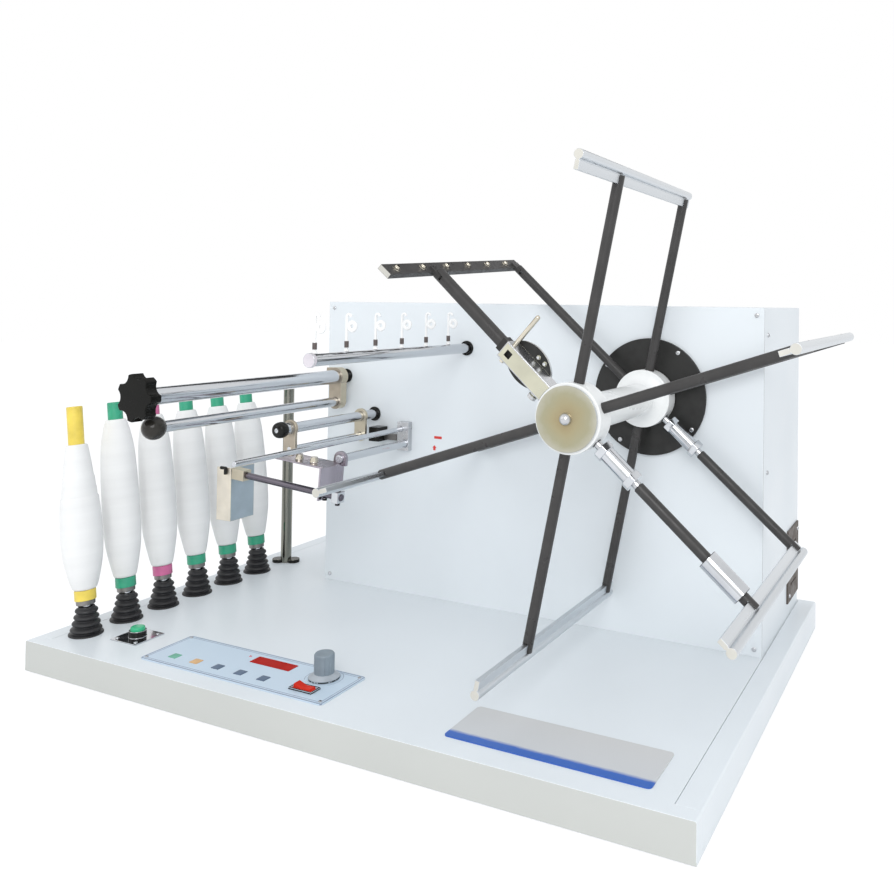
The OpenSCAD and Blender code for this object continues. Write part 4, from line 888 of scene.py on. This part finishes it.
dress("rod_bushes", [BLACK_PLASTIC], width=0.3)


def bars_face(point, normal):
    """Chrome bars and the steel block that holds them at the back."""
    outside = min(away(point, THIN_BAR_AT, 1) - THIN_BAR_R, away(point, PIVOT_BAR_AT, 1) - PIVOT_BAR_R)
    return 1 if point.y > BAR_BLOCK_Y and outside > 0 else 0


dress("guide_bars", [CHROME, STEEL], bars_face, 0.4)
dress("tension_rod", [CHROME], width=0.5)
dress("link_block", [TAN, BEIGE], lambda p, n: 0 if n.y < -0.9 else 1, 0.5)
dress("lower_rod", [CHROME], width=0.4)
dress("ball_knob", [BALL_BLACK], width=0.3)
dress("star_knob", [STAR_BLACK], width=2.0, segments=4, sharp=40)
dress("roller_rod", [CHROME], width=0.4)
dress("roller_frame", [BEIGE, CHROME, TAN],
      lambda p, n: 1 if away(p, ROLLER_PIN_AT, 1) < ROLLER_PIN_R else 2 if p.y < 0 else 0, 0.5)
low, high = low_corner("rod_knob"), high_corner("rod_knob")
knob_r, knob_l = (high.x - low.x) / 2, high.y - low.y
lathe_piece("v_rod_knob", [
    (1, [(0, knob_l), (2.2, knob_l), (2.6, knob_l - 0.4)]),
    (0, smooth_line([(2.6, knob_l - 0.4), (4.2, knob_l - 0.5), (knob_r - 1.2, knob_l - 2.0), (knob_r, knob_l - 6.0),
                     (knob_r - 0.3, knob_l * 0.48), (knob_r - 2.2, knob_l * 0.36)])),
    (1, [(knob_r - 2.2, knob_l * 0.36), (knob_r - 2.0, knob_l * 0.33), (knob_r - 2.0, knob_l * 0.18),
         (knob_r - 3.4, knob_l * 0.16), (knob_r - 3.4, 0), (3.1, 0)])],
    "clamp_knob", [BLACK_PLASTIC, CHROME], Matrix.Translation((middle("rod_knob").x, high.y, middle("rod_knob").z))
    @ Matrix.Rotation(math.pi / 2, 4, "X"), stands_for=["rod_knob"])


def stop_switch():
    """The small black switch with its steel leaf on the cabinet's front, behind the roller frame."""
    slab("stop_switch", (-147.0, 33.0, 222.5), (-131.0, 51.8, 240.0), 1.2, BLACK_PLASTIC, "cabinet", 0.8)
    slab("stop_leaf", (-131.0, 44.0, 224.0), (-111.5, 51.5, 231.5), 0.6, FORK, "cabinet", 0.5)


stop_switch()

# Balance lever

lever_frame = Matrix.Translation(PIVOT_BAR_AT) @ Matrix.Rotation(LEVER_TILT, 4, "Y")


def lever_face(point, normal):
    """Mauve plate and flange, steel pegs, bright end block and black screws, told apart in the lever's own frame."""
    place = lever_frame.inverted() @ point
    if place.x > LEVER_BLOCK_X:
        return 3 if abs(place.z - LEVER_BLOCK_Z) > 6.05 else 2
    if place.x > 4.05 and place.z < -32:
        return 3
    return 1 if place.x < -9.5 and place.z > -4.85 else 0


dress("lever_plate", [MAUVE, NICKEL, ALUMINIUM, BLACK_PLASTIC], lever_face, 0.3)
dress("cross_shaft", [SHAFT], width=0.6)


def hanger_face(point, normal):
    """Tan clamp, a leaf that faces front and a leaf that faces right, coloured by which way each face points as painted
    reflection and shade: light and warm to the front, darker blue-grey to the right; and the black hook.
    """
    if point.y < HOOK_Y:
        return 3
    if point.x > LEAVES_X:
        return 0
    return 2 if abs(normal.x) > 0.7 else 1


dress("hanger_plate", [BEIGE, LEAF_FRONT_REFLECTION, LEAF_SIDE_REFLECTION, BLACK_PLASTIC], hanger_face, 0.3)

# Guide tube and yarn guides

dress("guide_tube", [CHROME, CAP], lambda p, n: 1 if p.y < GUIDE_CAP_Y else 0, 0.5)
guide_axis = middle("guide_tube")


def guide_face(point, normal):
    """White wires and rings, dark collars."""
    step = round((point.y - GUIDE_Y0) / GUIDE_PITCH)
    reach = math.hypot(point.x - guide_axis.x, point.y - GUIDE_Y0 - step * GUIDE_PITCH)
    return 1 if 1.5 < reach < 2.4 and COLLAR_LOW < point.z < COLLAR_HIGH else 0


dress("thread_guides", [CERAMIC, COLLAR], guide_face, 0.3)

# Reel

dress("reel_hub", [HUB_WHITE], width=0.8, segments=3)
dress("hub_disc", [DISC, STEEL, CHROME],
      lambda p, n: 1 if away(p, HUB, 1) < DISC_BOLT_R else 2 if abs(n.y) < 0.5 else 0, 0.5)


def reach_of(point):
    """Distance from the reel's axis."""
    return math.hypot(point.x - HUB.x, point.z - HUB.z)


def bearing_of(point):
    """Angle from upright toward +X round the reel's axis, in degrees."""
    return math.degrees(math.atan2(point.x - HUB.x, point.z - HUB.z))


def arm_face(point, normal):
    """Black tubes with bare forks, and the bright studs of the adjustable arm."""
    if reach_of(point) < 60 and abs(bearing_of(point) - COUPLER_BEARING) < 16:
        return 2
    return 1 if reach_of(point) > FORK_FROM else 0


dress("fixed_arms", [BLACK, FORK, STEEL], arm_face, 0.4)


def bar_face(point, normal):
    """Aluminium bars with pale cut ends."""
    return 1 if abs(normal.y) > 0.7 else 0


dress("crossbars", [ALUMINIUM, CUT_END], bar_face, 0.35)
dress("adjust_bar", [ALUMINIUM, CUT_END], bar_face, 0.35)
for node in ("coupler_front", "coupler_rear"):
    dress(node, [CHROME], width=0.6)


def adjust_face(point, normal):
    """Black arms with bare forks, their screws and the bright counterweight."""
    place = arm_frame(4).inverted() @ point
    side = min(math.hypot(place.x, place.y - y) for y in (FRONT_ARMS_Y, REAR_ARMS_Y))
    if side > 5.2 and place.z < 210:
        return 3
    if place.z < 84:
        return 2
    return 1 if place.z > FORK_FROM else 0


dress("adjust_arms", [BLACK, FORK, STEEL, CHROME], adjust_face, 0.5)


def bracket_face(point, normal):
    """Pale zinc web, bright flanges and bolt, and the black plate behind with its bright rim."""
    place = arm_frame(1).inverted() @ point
    if place.y > BACKING_REAR_Y:
        return 1 if abs(normal.y) < 0.5 else 2
    if place.y > BACKING_Y and abs(place.x) > 9:
        return 1
    if place.x < -8.75:
        return 1
    return 0 if normal.y < -0.9 and place.y < FRONT_ARMS_Y - 9 else 1


def bracket_form(bm):
    """Stretches the round plate behind the channel into an oval along the arm, and softens the channel's long edges."""
    frame = arm_frame(1)
    back = frame.inverted()
    for vert in bm.verts:
        place = back @ (vert.co / MM)
        if place.y > BACKING_Y and abs(place.x) > 8.75:
            if math.hypot(place.x, place.z - BACKING_AT) > 23.8:
                place.x *= 0.80
                place.z = BACKING_AT + (place.z - BACKING_AT) * 1.10
            else:
                place.x -= 3.6
            vert.co = (frame @ place) * MM
    long_edges = []
    for edge in bm.edges:
        ends = [back @ (vert.co / MM) for vert in edge.verts]
        if all(place.y < FRONT_ARMS_Y - 10.9 and abs(abs(place.x) - 8.7) < 0.1 for place in ends):
            long_edges.append(edge)
    bevel(bm, long_edges, 1.9, 5, 0.6, material=1)


dress("release_bracket", [ZINC, STEEL, PLATE_BLACK], bracket_face, 0.4, change=bracket_form)


def release_face(point, normal):
    """Black tube with a bare fork, and the dark slider inside the channel."""
    place = arm_frame(1).inverted() @ point
    if place.z < SLIDER_TOP + 0.05:
        return 2
    return 1 if place.z > CLIP_PIN_R - 24 and abs(place.x) < 2.4 else 0


dress("release_arm", [BLACK, FORK, PLATE_BLACK], release_face, 0.4)
dress("latch_rod", [NICKEL], width=0.3)
clip_frame = arm_frame(1) @ Matrix.Translation((0, REAR_ARMS_Y, CLIP_PIN_R)) @ Matrix.Rotation(CLIP_TILT, 4, "X")


def clip_face(point, normal):
    """Black bar with a pale cut front end, and a bright stud at each yarn's clip."""
    place = clip_frame.inverted() @ point
    if place.x > 2.3 or (place.x > 0.02 and place.z > CLIP_STUD_Z - 4.2):
        return 1
    return 2 if normal.dot(clip_frame.col[1].xyz) < -0.9 and place.z > CLIP_STUD_Z - 7 else 0


dress("clip_bar", [BLACK, NICKEL, CUT_END], clip_face, 0.35)


# Floor and light

def plain_sight(holder):
    """1 for the rays that see a surface unshaded: those of the camera, of mirrors and of glass."""
    path = add(holder, "ShaderNodeLightPath")
    camera, glossy, through = [path.outputs["Is %s Ray" % kind] for kind in ("Camera", "Glossy", "Transmission")]
    return calc(holder, "MAXIMUM", calc(holder, "MAXIMUM", camera, glossy), through)


def make_floor():
    """A pale floor that keeps the shadow: where a camera or a mirror sees it unshaded, it reads white."""
    bpy.ops.mesh.primitive_plane_add(size=14, location=(0, 2, -0.0005))
    floor = bpy.context.object
    floor.name = "floor"
    material = shader("floor", (0.9, 0.9, 0.9), 0.9)
    tree = material.node_tree
    shown = add(material, "ShaderNodeBsdfDiffuse", Color=(0.5, 0.5, 0.5, 1))
    glow = add(material, "ShaderNodeEmission", Color=(1, 1, 1, 1), Strength=0.56)
    both = add(material, "ShaderNodeAddShader")
    mix = add(material, "ShaderNodeMixShader")
    join(material, shown.outputs[0], both.inputs[0])
    join(material, glow.outputs[0], both.inputs[1])
    join(material, plain_sight(material), mix.inputs["Fac"])
    join(material, tree.nodes["Principled BSDF"].outputs[0], mix.inputs[1])
    join(material, both.outputs[0], mix.inputs[2])
    join(material, mix.outputs[0], tree.nodes["Material Output"].inputs["Surface"])
    floor.data.materials.append(material)


def make_world():
    """Soft white light from all round; the camera and mirrors see plain white."""
    scene = bpy.context.scene
    scene.view_settings.view_transform = "Standard"
    world = bpy.data.worlds.new("world")
    scene.world = world
    world.use_nodes = True
    light = world.node_tree.nodes["Background"]
    light.inputs["Color"].default_value = (0.94, 0.965, 1.0, 1)
    light.inputs["Strength"].default_value = 0.98
    white = add(world, "ShaderNodeBackground", Color=(1, 1, 1, 1), Strength=1.0)
    mix = add(world, "ShaderNodeMixShader")
    join(world, plain_sight(world), mix.inputs["Fac"])
    join(world, light.outputs[0], mix.inputs[1])
    join(world, white.outputs[0], mix.inputs[2])
    join(world, mix.outputs[0], world.node_tree.nodes["World Output"].inputs["Surface"])


def area_light(name, place, target, size, power):
    """A soft square lamp that faces a point."""
    data = bpy.data.lights.new(name, "AREA")
    data.size = size
    data.energy = power
    lamp = bpy.data.objects.new(name, data)
    lamp.location = place
    lamp.rotation_euler = (Vector(target) - Vector(place)).to_track_quat("-Z", "Y").to_euler()
    bpy.context.scene.collection.objects.link(lamp)


def dark_card(name, place, target, size):
    """A dark studio card that only shows in polished metal."""
    bpy.ops.mesh.primitive_plane_add(size=1, location=place)
    card = bpy.context.object
    card.name = name
    card.scale = (*size, 1)
    card.rotation_euler = (Vector(target) - Vector(place)).to_track_quat("Z", "Y").to_euler()
    card.data.materials.append(shader(name, (0.02, 0.02, 0.022), 0.9))
    for sight in ("camera", "diffuse", "transmission", "volume_scatter", "shadow"):
        setattr(card, "visible_" + sight, False)


make_floor()
make_world()
area_light("key", (1.0, -2.0, 1.4), (0, 0, 0.2), 1.2, 21.5)
area_light("fill", (-1.4, -1.6, 1.3), (0, 0, 0.2), 1.6, 4)
dark_card("card_top", (-0.8, 1.8, 1.9), (-0.1, 0, 0.3), (2.2, 0.8))
